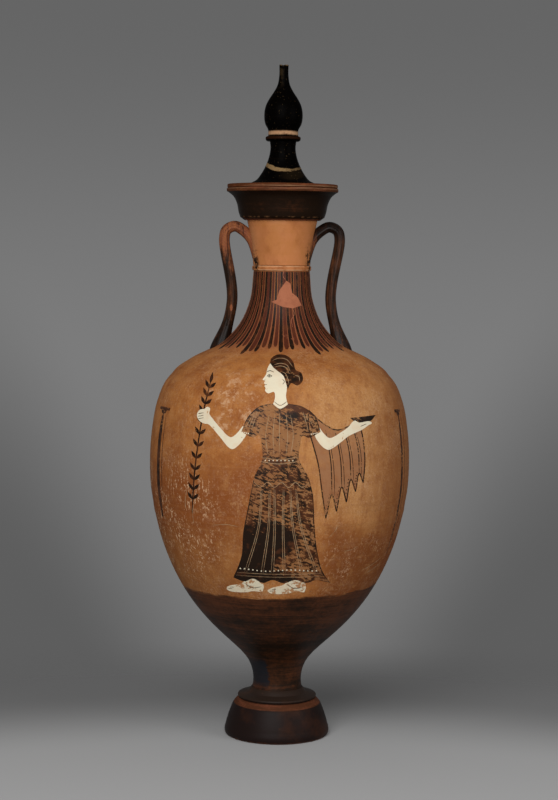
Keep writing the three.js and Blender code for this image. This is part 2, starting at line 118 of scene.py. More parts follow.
class JarShape(bpy.types.PropertyGroup):
    """Sizes of the thrown surface, the handles and the paint."""

    around: IntProperty(name="Steps", description="Steps of a thrown piece round its axis", default=240)
    step: length("Outline step", "Longest step along a thrown outline", 2.5)
    corner: length("Worn corner", "How far a sharp corner is worn back", 0.7)
    skin: length("Skin", "How far the thrown wall lies inside its solid, to leave room for paint", 0.4)
    ridge: length("Throwing ridges", "Depth of the ridges left by the potter's fingers", 0.16)
    ridge_pitch: length("Ridge pitch", "Height from one throwing ridge to the next", 9.0)
    wobble: length("Wobble", "How far the thrown wall runs out of round", 0.35)
    nick: length("Edge nicks", "Depth of the nicks in the lip, lid and foot edges", 1.1)
    slip_lift: length("Slip", "Thickness of painted slip on the wall", 0.12)
    cream_lift: length("Cream paint", "Thickness of the cream paint over the slip", 0.22)
    grid: length("Paint grid", "Spacing of the points that let paint follow the wall", 4.0)
    handle_depth: length("Handle depth", "Depth of the handle's strap at its arch", 16.0)
    handle_width: length("Handle width", "Width of the handle's strap at its arch", 22.0)
    root_depth: length("Root depth", "Depth of the handle where it spreads onto the shoulder", 30.0)
    root_width: length("Root width", "Width of the handle where it spreads onto the shoulder", 34.0)
    handle_groove: length("Handle groove", "Depth of the grooves along the handles", 1.2)
    handle_sink: length("Handle bed", "How far the ends of the handles sink into the wall", 3.0)


class JarColours(bpy.types.PropertyGroup):
    """Colours of the fired clay and of the paints on it."""

    clay: colour("Clay", "Coated clay of the belly", (0.345, 0.131, 0.034))
    clay_deep: colour("Deep clay", "Redder, darker clouds in the belly's clay", (0.185, 0.050, 0.011))
    clay_tan: colour("Tan clay", "Paler clouds in the belly's clay", (0.405, 0.198, 0.072))
    # This pale clay also colours the painted highlights on the lip and the lid's edge, and the painted
    # sheen on the fillet.
    pale_clay_and_highlight: colour("Bare clay", "Pale dust of scratches and bare spots", (0.62, 0.40, 0.235))
    neck: colour("Neck clay", "Plain light clay of the neck", (0.395, 0.147, 0.052))
    red: colour("Red clay", "Red clay of the bare bands", (0.185, 0.054, 0.025))
    maroon: colour("Maroon", "Dull red paint of the tongues", (0.068, 0.0165, 0.0080))
    slip: colour("Slip", "Dark slip where it is thick", (0.0130, 0.0066, 0.0036))
    slip_brown: colour("Thin slip", "Dark slip where the brush left it thin", (0.082, 0.026, 0.0095))
    slip_blue: colour("Misfired slip", "Bluish patch of slip on the stem", (0.0090, 0.0105, 0.0135))
    # This stain colour also paints the highlight along the mouth's roll.
    ghost: colour("Lost slip", "Stain that lost slip leaves on the clay", (0.215, 0.102, 0.042))
    black: colour("Lid black", "Glossy black of the lid", (0.0009, 0.0007, 0.0006))
    # This olive also paints the faint reflection on the left of the knob.
    olive_and_reflection: colour("Olive clay", "Bare streak on the lid", (0.30, 0.185, 0.082))
    foot: colour("Foot slip", "Purplish brown slip of the foot", (0.0115, 0.0064, 0.0056))
    cream: colour("Cream", "Cream white paint of the skin in the picture", (0.622, 0.553, 0.408))
    wash: colour("Brown wash", "Thin brown wash of the cloak in the picture", (0.265, 0.118, 0.050))
    incised: colour("Incised lines", "Clay scratched bare through the slip", (0.30, 0.205, 0.115))
    fill: colour("Mended clay", "Pink clay of the mended patch below the neck", (0.315, 0.106, 0.050))


class JarStage(bpy.types.PropertyGroup):
    """The floor, the lamps and the camera."""

    floor: colour("Floor", "Pale floor under the jar", (0.375, 0.375, 0.375))
    floor_grain: colour("Floor grain", "Pale grain of the floor", (0.5, 0.5, 0.5))
    floor_far: colour("Floor, far", "Floor in the shade behind the jar", (0.205, 0.205, 0.205))
    backdrop_low: colour("Backdrop, low", "Backdrop near the floor", (0.110, 0.110, 0.110))
    backdrop_mid: colour("Backdrop, middle", "Backdrop behind the belly", (0.200, 0.200, 0.200))
    backdrop_high: colour("Backdrop, high", "Backdrop above the jar", (0.130, 0.130, 0.130))
    ambient: FloatProperty(name="Ambient", description="Light from all round", default=0.15)
    key: FloatProperty(name="Key lamp", description="Power of the front lamp", default=88.0, unit="POWER")
    side: FloatProperty(name="Side lamp", description="Power of the right lamp", default=17.0, unit="POWER")
    distance: length("Camera distance", "From the jar's axis to the camera, along the floor", 2821.0)
    height: length("Camera height", "Height of the camera above the floor", 725.6)
    offset: length("Camera offset", "How far the camera stands to the left of the jar's axis", 1.8)
    pitch: angle("Camera pitch", "How far the camera looks down", 4.514)
    roll: angle("Camera roll", "How far the camera leans", 0.65)
    lens: FloatProperty(name="Lens", description="Focal length", default=85.5, unit="CAMERA")


# Curves and outlines

# Two points nearer than this are one point.
TINY = 1e-6
# A point nearer the axis than this lies on it, and heights nearer than this are one height.
REACH = 1e-5
# A corner nearer the cutting plane than this lies in it.
CUT_REACH = 1e-7
# Decimals of a metre to which the places of an outline are compared, and those of level heights
DECIMALS = 6
LEVEL_DECIMALS = 5
# Corners this near to the largest radius, as a share of it, show how many facets a solid has.
OUTERMOST = 0.999
# A corner whose turn has a smaller sine than this is straight.
STRAIGHT = 0.01
# A corner is sharp beyond the first turn in degrees, or beyond the second where both its sides are long.
SHARP_TURN = 60
EDGE_TURN = 35
EDGE_SIDE = 5 * MM
# A stretch longer than its neighbour by this ratio is a straight one and sets the way at their corner.
STRAIGHT_RATIO = 2.8
# A worn corner takes at most this share of a stretch, and is rounded in these parts.
CORNER_SHARE = 0.3
CORNER_PARTS = (0.0, 0.33, 0.67)
# Step along the body's wall, and the least rise between two of its corners in the solids
WALL_STEP = 1.5 * MM
WALL_RISE = 0.1 * MM


def spline_stretch(points, steps):
    """Steps of a centripetal spline from the second of four points towards the third."""
    first, middle, last = (math.sqrt(np.linalg.norm(points[k + 1] - points[k])) for k in range(3))
    if middle < TINY:
        return points[1:2]
    first = first if first > TINY else middle
    last = last if last > TINY else middle
    p0, p1, p2, p3 = points
    leave = (p1 - p0) / first - (p2 - p0) / (first + middle) + (p2 - p1) / middle
    arrive = (p2 - p1) / middle - (p3 - p1) / (middle + last) + (p3 - p2) / last
    return hermite(p1, p2, leave * middle, arrive * middle, steps)


def hermite(start, end, leave, arrive, steps):
    """Steps of a cubic curve from start towards end, without the end itself."""
    t = np.arange(steps)[:, None] / steps
    return (
        (2 * t**3 - 3 * t**2 + 1) * start
        + (t**3 - 2 * t**2 + t) * leave
        + (3 * t**2 - 2 * t**3) * end
        + (t**3 - t**2) * arrive
    )


def smooth_line(points, steps=6, closed=False):
    """A smooth line through points. A point given twice makes a corner."""
    points = np.asarray(points, float)
    if closed:
        padded = np.vstack([points[-1:], points, points[:2]])
    else:
        padded = np.vstack([2 * points[0] - points[1], points, 2 * points[-1] - points[-2]])
    line = np.vstack([spline_stretch(padded[k : k + 4], steps) for k in range(len(padded) - 3)])
    if not closed:
        line = np.vstack([line, points[-1]])
    apart = np.linalg.norm(line - np.roll(line, 1, axis=0), axis=1) > TINY
    apart[0] = True
    return line[apart]


def directions(line):
    """The direction of a line at each of its points."""
    way = np.gradient(line, axis=0)
    return way / np.linalg.norm(way, axis=1)[:, None]


def section_segments(node):
    """Short lines where a half plane through the axis, in the middle of a facet, cuts a turned solid."""
    solid = bmesh.new()
    solid.from_mesh(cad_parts[node].data)
    bmesh.ops.remove_doubles(solid, verts=solid.verts, dist=TINY)
    corners = np.array([corner.co for corner in solid.verts])
    radii = np.hypot(corners[:, 0], corners[:, 1])
    rim = corners[radii > OUTERMOST * radii.max()]
    facets = len(set(np.round(np.degrees(np.arctan2(rim[:, 1], rim[:, 0]))).astype(int) % 360))
    half = math.pi / facets
    outward = Vector((math.cos(half), math.sin(half), 0))
    across = Vector((-math.sin(half), math.cos(half), 0))
    cut = bmesh.ops.bisect_plane(
        solid,
        geom=[*solid.verts, *solid.edges, *solid.faces],
        dist=CUT_REACH,
        plane_co=(0, 0, 0),
        plane_no=across,
        clear_inner=True,
        clear_outer=True,
    )
    segments = []
    for edge in cut["geom_cut"]:
        if isinstance(edge, bmesh.types.BMEdge):
            ends = [(corner.co.dot(outward) / math.cos(half), corner.co.z) for corner in edge.verts]
            segments.append(sorted(ends))
    solid.free()
    return segments


def solid_outline(node):
    """The outline of a turned solid as radius and height, counterclockwise, and whether it is a ring."""
    near = {}
    for (low_r, low_z), (high_r, high_z) in section_segments(node):
        if high_r < REACH:
            continue
        if low_r < REACH:
            share = -low_r / (high_r - low_r)
            low_r, low_z = 0.0, low_z + share * (high_z - low_z)
        start = (round(low_r, DECIMALS), round(low_z, DECIMALS))
        end = (round(high_r, DECIMALS), round(high_z, DECIMALS))
        near.setdefault(start, []).append(end)
        near.setdefault(end, []).append(start)
    loose = [place for place, others in near.items() if len(set(others)) == 1]
    ring = not loose
    walk = [loose[0] if loose else min(near, key=lambda place: (place[1], -place[0]))]
    before = None
    while True:
        onward = [place for place in near[walk[-1]] if place != before and place != walk[-1]]
        if not onward or onward[0] == walk[0]:
            break
        before = walk[-1]
        walk.append(onward[0])
    outline = np.array(walk)
    turning = np.roll(outline, -1, axis=0)
    if np.sum(outline[:, 0] * turning[:, 1] - turning[:, 0] * outline[:, 1]) < 0:
        outline = outline[::-1]
    return without_straight_points(outline, ring), ring


def without_straight_points(outline, ring):
    """An outline without the points that lie on its straight stretches."""
    kept = []
    for k, place in enumerate(outline):
        if not ring and k in (0, len(outline) - 1):
            kept.append(place)
            continue
        before = place - outline[k - 1]
        after = outline[(k + 1) % len(outline)] - place
        spans = np.linalg.norm(before) * np.linalg.norm(after)
        sine = (before[0] * after[1] - before[1] * after[0]) / spans
        if abs(sine) > STRAIGHT or np.dot(before, after) < 0:
            kept.append(place)
    return np.array(kept)


def corner_ways(ways, spans, ring):
    """Which corners of an outline are sharp, and the way a smooth line takes through each of the others."""
    count = len(spans)
    sharp = np.zeros(count, bool)
    lean = np.zeros((count, 2))
    for k in range(count):
        into, out = (k - 1) % count, k
        if not ring and k in (0, count - 1):
            lean[k] = ways[out] if k == 0 else ways[into]
            continue
        turn = math.degrees(math.acos(np.clip(np.dot(ways[into], ways[out]), -1, 1)))
        long_sides = min(spans[into], spans[out]) > EDGE_SIDE
        sharp[k] = turn > SHARP_TURN or (turn > EDGE_TURN and long_sides)
        if spans[out] > STRAIGHT_RATIO * spans[into]:
            lean[k] = ways[out]
        elif spans[into] > STRAIGHT_RATIO * spans[out]:
            lean[k] = ways[into]
        else:
            lean[k] = ways[into] * spans[out] + ways[out] * spans[into]
            lean[k] /= np.linalg.norm(lean[k])
    return sharp, lean


def eased_outline(outline, ring, step, worn):
    """A fine outline: rounded stretches made smooth, straight ones kept, and sharp corners worn back."""
    count = len(outline)
    ends = np.roll(outline, -1, axis=0)
    spans = np.linalg.norm(ends - outline, axis=1)
    ways = (ends - outline) / np.maximum(spans, TINY)[:, None]
    sharp, lean = corner_ways(ways, spans, ring)
    back = np.minimum(worn, CORNER_SHARE * spans)
    line = []
    for k in range(count if ring else count - 1):
        after = (k + 1) % count
        start, end = outline[k], outline[after]
        if sharp[k]:
            corner_in = start - ways[k - 1] * back[k - 1]
            start = start + ways[k] * back[k]
            for t in CORNER_PARTS:
                line.append((1 - t) ** 2 * corner_in + 2 * t * (1 - t) * outline[k] + t**2 * start)
        if sharp[after]:
            end = end - ways[k] * back[k]
        span = np.linalg.norm(end - start)
        leave = (ways[k] if sharp[k] else lean[k]) * span
        arrive = (ways[k] if sharp[after] else lean[after]) * span
        line.extend(hermite(start, end, leave, arrive, max(1, math.ceil(span / step))))
    if not ring:
        line.append(outline[-1])
    return np.array(line)


def wall_points():
    """Radius and height of the body's outer wall in the solids, from the stem to the neck ring."""
    points = []
    for node, low, high, _ in BODY_SECTIONS:
        outline, ring = solid_outline(node)
        if ring:
            levels = np.round(outline[:, 1], LEVEL_DECIMALS)
            first = min(range(len(outline)), key=lambda k: (levels[k], -outline[k][0]))
            outline = np.roll(outline, -first, axis=0)
        for radius, height in outline:
            if height > low - REACH and (not points or height > points[-1][1] + WALL_RISE):
                points.append((radius, height))
            if height > high - REACH:
                break
    return np.array(points)


WALL = eased_outline(wall_points(), False, WALL_STEP, 0.0)


def wall_radius(height):
    """Radius of the body's wall at a height."""
    return np.interp(height, WALL[:, 1], WALL[:, 0])


# Hand work on the thrown pieces: how the ridges sway, and how the out-of-round wall twists as it rises
RIDGE_SWAY = 1.5
SWAY_TWIST = 9
OVAL_TWIST = 14
# Small pieces wobble inwards by up to this much, in swells that twist as they rise.
FAINT_WOBBLE = 0.12 * MM
FAINT_SWELLS = 3
FAINT_TWIST = 40


def wave(phase):
    """A wave between 0 and 1."""
    return 0.5 + 0.5 * np.sin(phase)


def hand_work(turn, height):
    """How far the thrown surface lies inside its solid at a place: skin, finger ridges and wobble."""
    shape = bpy.context.scene.jar_shape
    sway = RIDGE_SWAY * np.sin(turn + SWAY_TWIST * height)
    ridges = wave(2 * math.pi * height / shape.ridge_pitch + sway)
    return shape.skin + shape.ridge * ridges + shape.wobble * wave(2 * turn + OVAL_TWIST * height)


# Meshes

# Faces that meet at less than this look smooth.
SMOOTH_ANGLE = math.radians(38)


def piece(name, mesh, finishes, body):
    """Adds a mesh to the scene as a piece that rides on a body and takes its finish from a slot."""
    mesh.validate()
    mesh.shade_smooth()
    mesh.set_sharp_from_angle(angle=SMOOTH_ANGLE)
    for finish in finishes:
        mesh.materials.append(finish)
    made = bpy.data.objects.new(name, mesh)
    bpy.context.scene.collection.objects.link(made)
    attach(made, body)
    return made


def on_axis(turn, radius, height):
    """Points in space from turns, radii and heights."""
    return np.stack([radius * np.sin(turn), -radius * np.cos(turn), height + 0 * turn], axis=-1)


def turns_round(count):
    """Evenly spaced turns round a full circle."""
    return np.arange(count) * 2 * math.pi / count


def turn_gap(turn, place):
    """How far turns lie from a place, the shorter way round."""
    return (turn - place + math.pi) % (2 * math.pi) - math.pi


def turned_mesh(name, outline, ring, around, shaped, inside_from=None):
    """A mesh turned round the axis.

    shaped moves its radii and heights. Stretches from inside_from on take the second finish.
    """
    turns = turns_round(around)
    corners, rows = [], []
    for radius, height in outline:
        start = sum(len(block) for block in corners)
        if radius < TINY:
            corners.append(np.array([[0.0, 0.0, height]]))
            rows.append(np.full(around, start))
        else:
            corners.append(on_axis(turns, *shaped(turns, radius + 0 * turns, height + 0 * turns)))
            rows.append(start + np.arange(around))
    faces, sides = [], []
    for k in range(len(rows) if ring else len(rows) - 1):
        low, high = rows[k], rows[(k + 1) % len(rows)]
        for j in range(around):
            after = (j + 1) % around
            face = [low[j], low[after], high[after], high[j]]
            face = [corner for n, corner in enumerate(face) if corner not in face[:n]]
            faces.append([int(corner) for corner in face])
            sides.append(int(inside_from is not None and k >= inside_from))
    mesh = bpy.data.meshes.new(name)
    mesh.from_pydata(np.vstack(corners).tolist(), [], faces)
    mesh.polygons.foreach_set("material_index", sides)
    return mesh


def evenly_thrown(turn, radius, height):
    """Shapes a small thrown piece: a faint wobble inwards."""
    return radius - FAINT_WOBBLE * wave(FAINT_SWELLS * turn + FAINT_TWIST * height), height


def nicked(edge_radius, edge_height, reach, nicks):
    """Shapes a piece with chips in its edge: each has a turn, a half width in turn and a share of depth."""
    depth = bpy.context.scene.jar_shape.nick

    def shaped(turn, radius, height):
        radius, height = evenly_thrown(turn, radius, height)
        near = np.exp(-(((radius - edge_radius) / reach) ** 2) - ((height - edge_height) / reach) ** 2)
        for place, half, share in nicks:
            radius = radius - depth * share * near * np.exp(-((turn_gap(turn, place) / half) ** 2))
        return radius, height

    return shaped


def turned_piece(node, finishes, body, shaped=evenly_thrown):
    """A fine thrown piece that stands for a turned solid."""
    shape = bpy.context.scene.jar_shape
    outline, ring = solid_outline(node)
    line = eased_outline(outline, ring, shape.step, shape.corner)
    mesh = turned_mesh("thrown_" + node, line, ring, shape.around, shaped)
    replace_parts(piece("thrown_" + node, mesh, finishes, body), node)


# Finishes


class Wire:
    """A shader socket. Each operator used on it adds a Math node, and a soft step adds a Map Range."""

    def __init__(self, nodes, socket):
        self.nodes = nodes
        self.socket = socket

    def math(self, operation, first, second):
        """A Math node on two values."""
        return self.nodes.node("ShaderNodeMath", {"operation": operation}, {0: first, 1: second})

    def __add__(self, other):
        return self.math("ADD", self, other)

    def __sub__(self, other):
        return self.math("SUBTRACT", self, other)

    def __rsub__(self, other):
        return self.math("SUBTRACT", other, self)

    def __mul__(self, other):
        return self.math("MULTIPLY", self, other)

    def __pow__(self, other):
        return self.math("POWER", self, other)

    __radd__ = __add__
    __rmul__ = __mul__

    def rise(self, low, high):
        """0 below low, 1 above high and a soft step between."""
        sockets = {"Value": self, "From Min": low, "From Max": high}
        return self.nodes.node("ShaderNodeMapRange", {"interpolation_type": "SMOOTHSTEP"}, sockets)

    def fall(self, low, high):
        """1 below low, 0 above high and a soft step between."""
        return 1 - self.rise(low, high)

    def band(self, low, high, soft):
        """1 between low and high, with soft ends."""
        return self.rise(low - soft, low + soft) * self.fall(high - soft, high + soft)


class Nodes:
    """A node tree that is built up node by node."""

    def __init__(self, tree):
        self.tree = tree
        self.tree.nodes.clear()

    def node(self, kind, settings, sockets, out=0):
        """Adds a node, with its settings set first and then its sockets, and gives one of its outputs."""
        made = self.tree.nodes.new(kind)
        for key, value in settings.items():
            setattr(made, key, value)
        for key, value in sockets.items():
            if isinstance(value, Wire):
                self.tree.links.new(value.socket, made.inputs[key])
            else:
                made.inputs[key].default_value = value
        return Wire(self, made.outputs[out]) if len(made.outputs) else None

    def parts(self, vector):
        """The three numbers of a vector."""
        first = self.node("ShaderNodeSeparateXYZ", {}, {0: vector})
        return [Wire(self, socket) for socket in first.socket.node.outputs]

    def mix(self, share, first, second):
        """A colour between two colours."""
        sockets = {0: share}
        for key, value in ((6, first), (7, second)):
            sockets[key] = value if isinstance(value, Wire) else (*value, 1.0)
        return self.node("ShaderNodeMix", {"data_type": "RGBA"}, sockets, 2)

    def layers(self, tone, *layers):
        """A colour with layers laid over it one by one. Each layer is its share and its colour."""
        for share, over in layers:
            tone = self.mix(share, tone, over)
        return tone


class Finish(Nodes):
    """One procedural material over places on the jar."""

    # How far slanted places rise to the right, as a share of the way there
    SLANT = 0.3

    def __init__(self, name):
        self.material = bpy.data.materials.new(name)
        self.material.use_nodes = True
        super().__init__(self.material.node_tree)
        self.spot = self.node("ShaderNodeTexCoord", {}, {}, "Object")
        self.x, self.y, self.z = self.parts(self.spot)

    @cached_property
    def radius(self):
        """Distance from the axis."""
        return (self.x * self.x + self.y * self.y) ** 0.5

    @cached_property
    def beside(self):
        """Distance to the left or right of the middle."""
        return (self.x * self.x) ** 0.5

    @cached_property
    def slanted(self):
        """Places that rise to the right."""
        sockets = {0: self.x, 1: self.y, 2: self.z + self.x * self.SLANT}
        return self.node("ShaderNodeCombineXYZ", {}, sockets)

    def noise(self, scale, detail=4.0, rough=0.55, stretch=(1, 1, 1), warp=0.0, place=None):
        """Noise from 0 to 1 over the piece. A large stretch along an axis makes streaks across it."""
        sockets = {0: place or self.spot, 1: stretch}
        place = self.node("ShaderNodeVectorMath", {"operation": "MULTIPLY"}, sockets)
        sockets = {"Vector": place, "Scale": scale, "Detail": detail, "Roughness": rough}
        sockets["Distortion"] = warp
        return self.node("ShaderNodeTexNoise", {}, sockets)

    def surface(self, tone, rough, height, relief, sheen):
        """Ends the material with a shader: tone, roughness, relief in metres and strength of reflection."""
        normal = self.node("ShaderNodeBump", {}, {"Strength": 1.0, "Distance": relief, "Height": height})
        sockets = {"Base Color": tone, "Roughness": rough, "Normal": normal, "Specular IOR Level": sheen}
        shader = self.node("ShaderNodeBsdfPrincipled", {}, sockets)
        self.node("ShaderNodeOutputMaterial", {}, {"Surface": shader})
        return self.material


# Heights between which the belly's clay gives way to the red of the tongues
TONGUE_ZONE = (0.573, 0.594)


def clay_tone(look):
    """The belly's clay: red and tan clouds, streaks down the wall, wheel lines, flecks and scuffs."""
    colours = bpy.context.scene.jar_colours
    x = look.x + (look.noise(9, 4, 0.6) - 0.5) * 0.10
    z = look.z + (look.noise(8, 4, 0.6, stretch=(1.4, 1.4, 0.8)) - 0.5) * 0.10
    mottle = look.noise(30, 6, 0.66)
    blotches = look.noise(75, 5, 0.70)
    streaks = look.noise(1, 5, 0.62, stretch=(100, 100, 9))
    wheel = look.noise(1, 5, 0.55, stretch=(5, 5, 420))
    grain = look.noise(430, 3, 0.6)
    tan_right = x.rise(-0.01, 0.07) * z.band(0.34, 0.54, 0.04)
    red_left = x.fall(-0.06, 0.02) * z.band(0.315, 0.425, 0.03)
    tan_low = x.fall(0.0, 0.10) * z.fall(0.265, 0.305)
    low_right = x.rise(0.03, 0.09) * z.fall(0.30, 0.355)
    low_left = x.fall(-0.07, 0.0) * z.fall(0.300, 0.350)
    dust = (look.noise(380, 4, 0.68) * 0.6 + look.noise(17, 4, 0.6) * 0.4).rise(0.53, 0.62)
    speckled = x.band(-0.107, -0.028, 0.02) * z.band(0.457, 0.536, 0.02)
    specks = (look.noise(150, 5, 0.70) * 0.7 + look.noise(45, 3, 0.5) * 0.3).rise(0.49, 0.62)
    scuffs = look.noise(1, 6, 0.72, stretch=(340, 340, 60)) * 0.5 + look.noise(260, 5, 0.75) * 0.5
    scratches = scuffs.rise(0.522, 0.580)
    spread = look.noise(24, 4, 0.62)
    patches = spread.rise(0.44, 0.62)
    rubbed = x.fall(-0.135, -0.075) * z.band(0.265, 0.42, 0.03)
    scratched = patches * (0.18 + 0.22 * low_right) + 0.80 * rubbed * spread.rise(0.36, 0.54)
    pits = look.noise(300, 3, 0.6).rise(0.66, 0.72)
    tone = look.layers(
        colours.clay,
        (0.55 * mottle.rise(0.40, 0.66), colours.clay_deep),
        (0.88 * tan_right, colours.clay_tan),
        (0.80 * red_left, colours.clay_deep),
        (0.12 * tan_low, colours.clay_tan),
        (0.80 * low_right, colours.clay_deep),
        (0.16 * low_right, colours.slip),
        (0.22 * low_left, colours.slip_brown),
        (0.65 * x.rise(0.115, 0.165), colours.clay_deep),
        (0.45 * streaks.rise(0.48, 0.72), colours.clay_deep),
        (0.35 * blotches.rise(0.50, 0.64), colours.clay_deep),
        (0.30 * blotches.fall(0.36, 0.48), colours.clay_tan),
        (0.14 * wheel.rise(0.50, 0.70), colours.clay_tan),
        (0.30 * grain.rise(0.42, 0.68), colours.clay_deep),
        (0.16 * dust, colours.pale_clay_and_highlight),
        (specks * (0.07 + 0.42 * speckled), colours.pale_clay_and_highlight),
        (0.30 * rubbed, colours.clay_deep),
        (scratches * scratched, colours.pale_clay_and_highlight),
        (0.5 * pits, colours.slip_brown),
    )
    height = mottle * 0.4 + wheel * 0.4 + grain * 0.3 - pits * 0.5 - scratches * patches * 0.3
    return tone, height


def slip_tone(look, thin):
    """Dark slip laid on with a brush while the jar turned. thin is how much of it the brush left thin."""
    colours = bpy.context.scene.jar_colours
    brush = look.noise(1, 6, 0.72, stretch=(16, 16, 520))
    broad = look.noise(1, 5, 0.62, stretch=(8, 8, 90), warp=0.3)
    clouds = look.noise(26, 5, 0.66)
    specks = look.noise(170, 4, 0.66)
    shown = (brush * 0.28 + broad * 0.26 + clouds * 0.26 + specks * 0.20 + thin).rise(0.44, 0.68)
    return look.mix(shown, colours.slip, colours.slip_brown), brush


def body_finish():
    """The body: coated clay, a dark zone below the picture and redder clay between the tongues."""
    colours = bpy.context.scene.jar_colours
    look = Finish("body_clay_and_slip")
    clay, clay_height = clay_tone(look)
    ragged = look.noise(28, 5, 0.6) - 0.5
    fray = look.noise(1, 5, 0.66, stretch=(30, 30, 330)) - 0.5
    dark = (look.z + ragged * 0.008 + fray * 0.016 - look.x * 0.02).fall(0.2285, 0.2335)
    upper_zone = look.z.rise(0.165, 0.232) * 0.055
    stem_zone = look.z.fall(0.115, 0.150) * 0.020
    side_zone = (look.beside + ragged * 0.08).rise(0.03, 0.10) * 0.042
    slip, brush = slip_tone(look, upper_zone + stem_zone + side_zone)
    on_stem = (look.z + ragged * 0.03).band(0.078, 0.118, 0.006)
    on_left = look.x + ragged * 0.035 + fray * 0.012 + (look.z - 0.098) * 0.15
    misfired = on_stem * on_left.band(-0.05, -0.0150, 0.0015)
    slip = look.mix(0.92 * misfired, slip, colours.slip_blue)
    between = look.mix(0.10 + 0.5 * ragged + 0.40 * look.z.rise(0.63, 0.68), colours.red, colours.clay)
    red = (look.z + ragged * 0.016).rise(*TONGUE_ZONE)
    tone = look.layers(clay, (0.93 * red, between), (dark, slip))
    rough = 0.56 + 0.14 * clay_height - dark * (0.18 + 0.10 * brush)
    height = clay_height * (1 - dark) + brush * dark * 0.5
    return look.surface(tone, rough, height, relief=0.22 * MM, sheen=0.08)


def inside_finish():
    """Bare clay inside the jar, with the marks of the wheel."""
    colours = bpy.context.scene.jar_colours
    look = Finish("bare_inner_clay")
    wheel = look.noise(1, 4, 0.5, stretch=(3, 3, 170))
    mottle = look.noise(22, 5, 0.6)
    tone = look.layers(
        colours.red,
        (mottle.rise(0.3, 0.7), colours.clay),
        (0.4 * wheel.rise(0.5, 0.7), colours.clay_deep),
    )
    return look.surface(tone, 0.72 + 0.12 * mottle, wheel + 0.4 * mottle, relief=0.5 * MM, sheen=0.2)


def neck_finish():
    """The neck's light clay, mottled, with pale lines at the roll and stray slip beside the handles."""
    colours = bpy.context.scene.jar_colours
    look = Finish("neck_clay")
    mottle = look.noise(30, 5, 0.62)
    clouds = look.noise(14, 3, 0.5)
    blotches = look.noise(85, 5, 0.68)
    wheel = look.noise(1, 4, 0.5, stretch=(4, 4, 300))
    stains = look.noise(46, 5, 0.66, stretch=(1, 1, 0.7)) * 0.6 + look.noise(11, 3, 0.5) * 0.4
    stained = stains.rise(0.45, 0.62) * look.beside.fall(0.016, 0.040)
    on_roll = look.z.fall(RING_TOP - 0.2 * MM, RING_TOP + 0.4 * MM)
    upper_line = look.z.band(RING_TOP - 1.6 * MM, RING_TOP + 0.3 * MM, 0.4 * MM)
    lower_line = look.z.band(RING_FOOT + 0.8 * MM, RING_FOOT + 2.2 * MM, 0.4 * MM)
    broken = look.noise(90, 4, 0.6).rise(0.40, 0.56)
    under = look.z.fall(RING_FOOT + 0.3 * MM, RING_FOOT + 0.9 * MM)
    sides = (look.beside + (look.noise(60, 4, 0.6) - 0.5) * 0.014).rise(0.033, 0.037)
    stray = (look.noise(150, 4, 0.65) * 0.6 + look.noise(45, 3, 0.5) * 0.4).rise(0.47, 0.53)
    tone = look.layers(
        colours.neck,
        (0.60 * mottle.rise(0.40, 0.7), colours.clay),
        (0.14 * clouds.rise(0.45, 0.7), colours.pale_clay_and_highlight),
        (0.30 * wheel.rise(0.5, 0.72), colours.clay),
        (0.30 * blotches.rise(0.48, 0.66), colours.clay),
        (0.42 * stained, colours.clay_deep),
        (0.55 * on_roll * blotches.rise(0.36, 0.62), colours.clay_deep),
        (0.38 * (upper_line + lower_line) * broken, colours.pale_clay_and_highlight),
        (0.8 * under, colours.slip_brown),
        (sides * stray * look.z.fall(0.706, 0.745), colours.slip),
    )
    height = mottle * 0.5 + wheel * 0.5
    return look.surface(tone, 0.56 + 0.14 * mottle, height, relief=0.2 * MM, sheen=0.1)


def worn_edge(look):
    """Dull red clay at a worn edge, brown where a film of slip is left on it."""
    colours = bpy.context.scene.jar_colours
    left = look.noise(1, 4, 0.6, stretch=(40, 40, 420))
    spots = look.noise(120, 4, 0.6).rise(0.54, 0.66)
    return look.layers(
        colours.slip_brown,
        (0.58 * left.rise(0.44, 0.66), colours.red),
        (0.15 * spots, colours.clay),
    )


def mouth_finish():
    """The mouth: satin slip with brushed brown lines, a red foot line, a bare lip edge and painted
    highlight lines.
    """
    colours = bpy.context.scene.jar_colours
    look = Finish("mouth_slip")
    middle = look.beside.fall(0.03, 0.065) * look.z.band(MOUTH_FOOT + 8 * MM, RIM - 14 * MM, 6 * MM)
    slip, brush = slip_tone(look, 0.07 * middle - 0.125)
    ragged = look.noise(70, 4, 0.6) - 0.5
    lip = (look.z + ragged * 0.003).rise(RIM - 6.6 * MM, RIM - 5.4 * MM)
    lip = lip * look.radius.rise(LIP_RADIUS - 6 * MM, LIP_RADIUS - 3 * MM)
    # Painted highlight: a pale line along the lip just below the rim, broken by the brush streaks.
    light = look.z.band(RIM - 2.6 * MM, RIM - 1.0 * MM, 0.5 * MM) * brush.rise(0.40, 0.58)
    foot = (look.z + ragged * 0.001).fall(MOUTH_FOOT + 0.8 * MM, MOUTH_FOOT + 2.2 * MM)
    # Painted highlight: a pale line along the roll above the mouth's foot. rubbed only breaks this line
    # into pieces and is no wear.
    ridge = look.z.band(MOUTH_FOOT + 3.6 * MM, MOUTH_FOOT + 5.4 * MM, 0.8 * MM)
    rubbed = look.noise(110, 4, 0.6).rise(0.50, 0.60)
    tone = look.layers(
        slip,
        (0.25, colours.black),
        (0.70 * lip, worn_edge(look)),
        # Painted highlight on the lip's pale line.
        (0.14 * lip * light, colours.pale_clay_and_highlight),
        (0.55 * foot, colours.red),
        # Painted highlight along the roll, in the colour of the lost-slip stain.
        (0.42 * ridge * rubbed, colours.ghost),
    )
    return look.surface(tone, 0.30 + 0.18 * lip + 0.10 * brush, brush, relief=0.15 * MM, sheen=0.035)


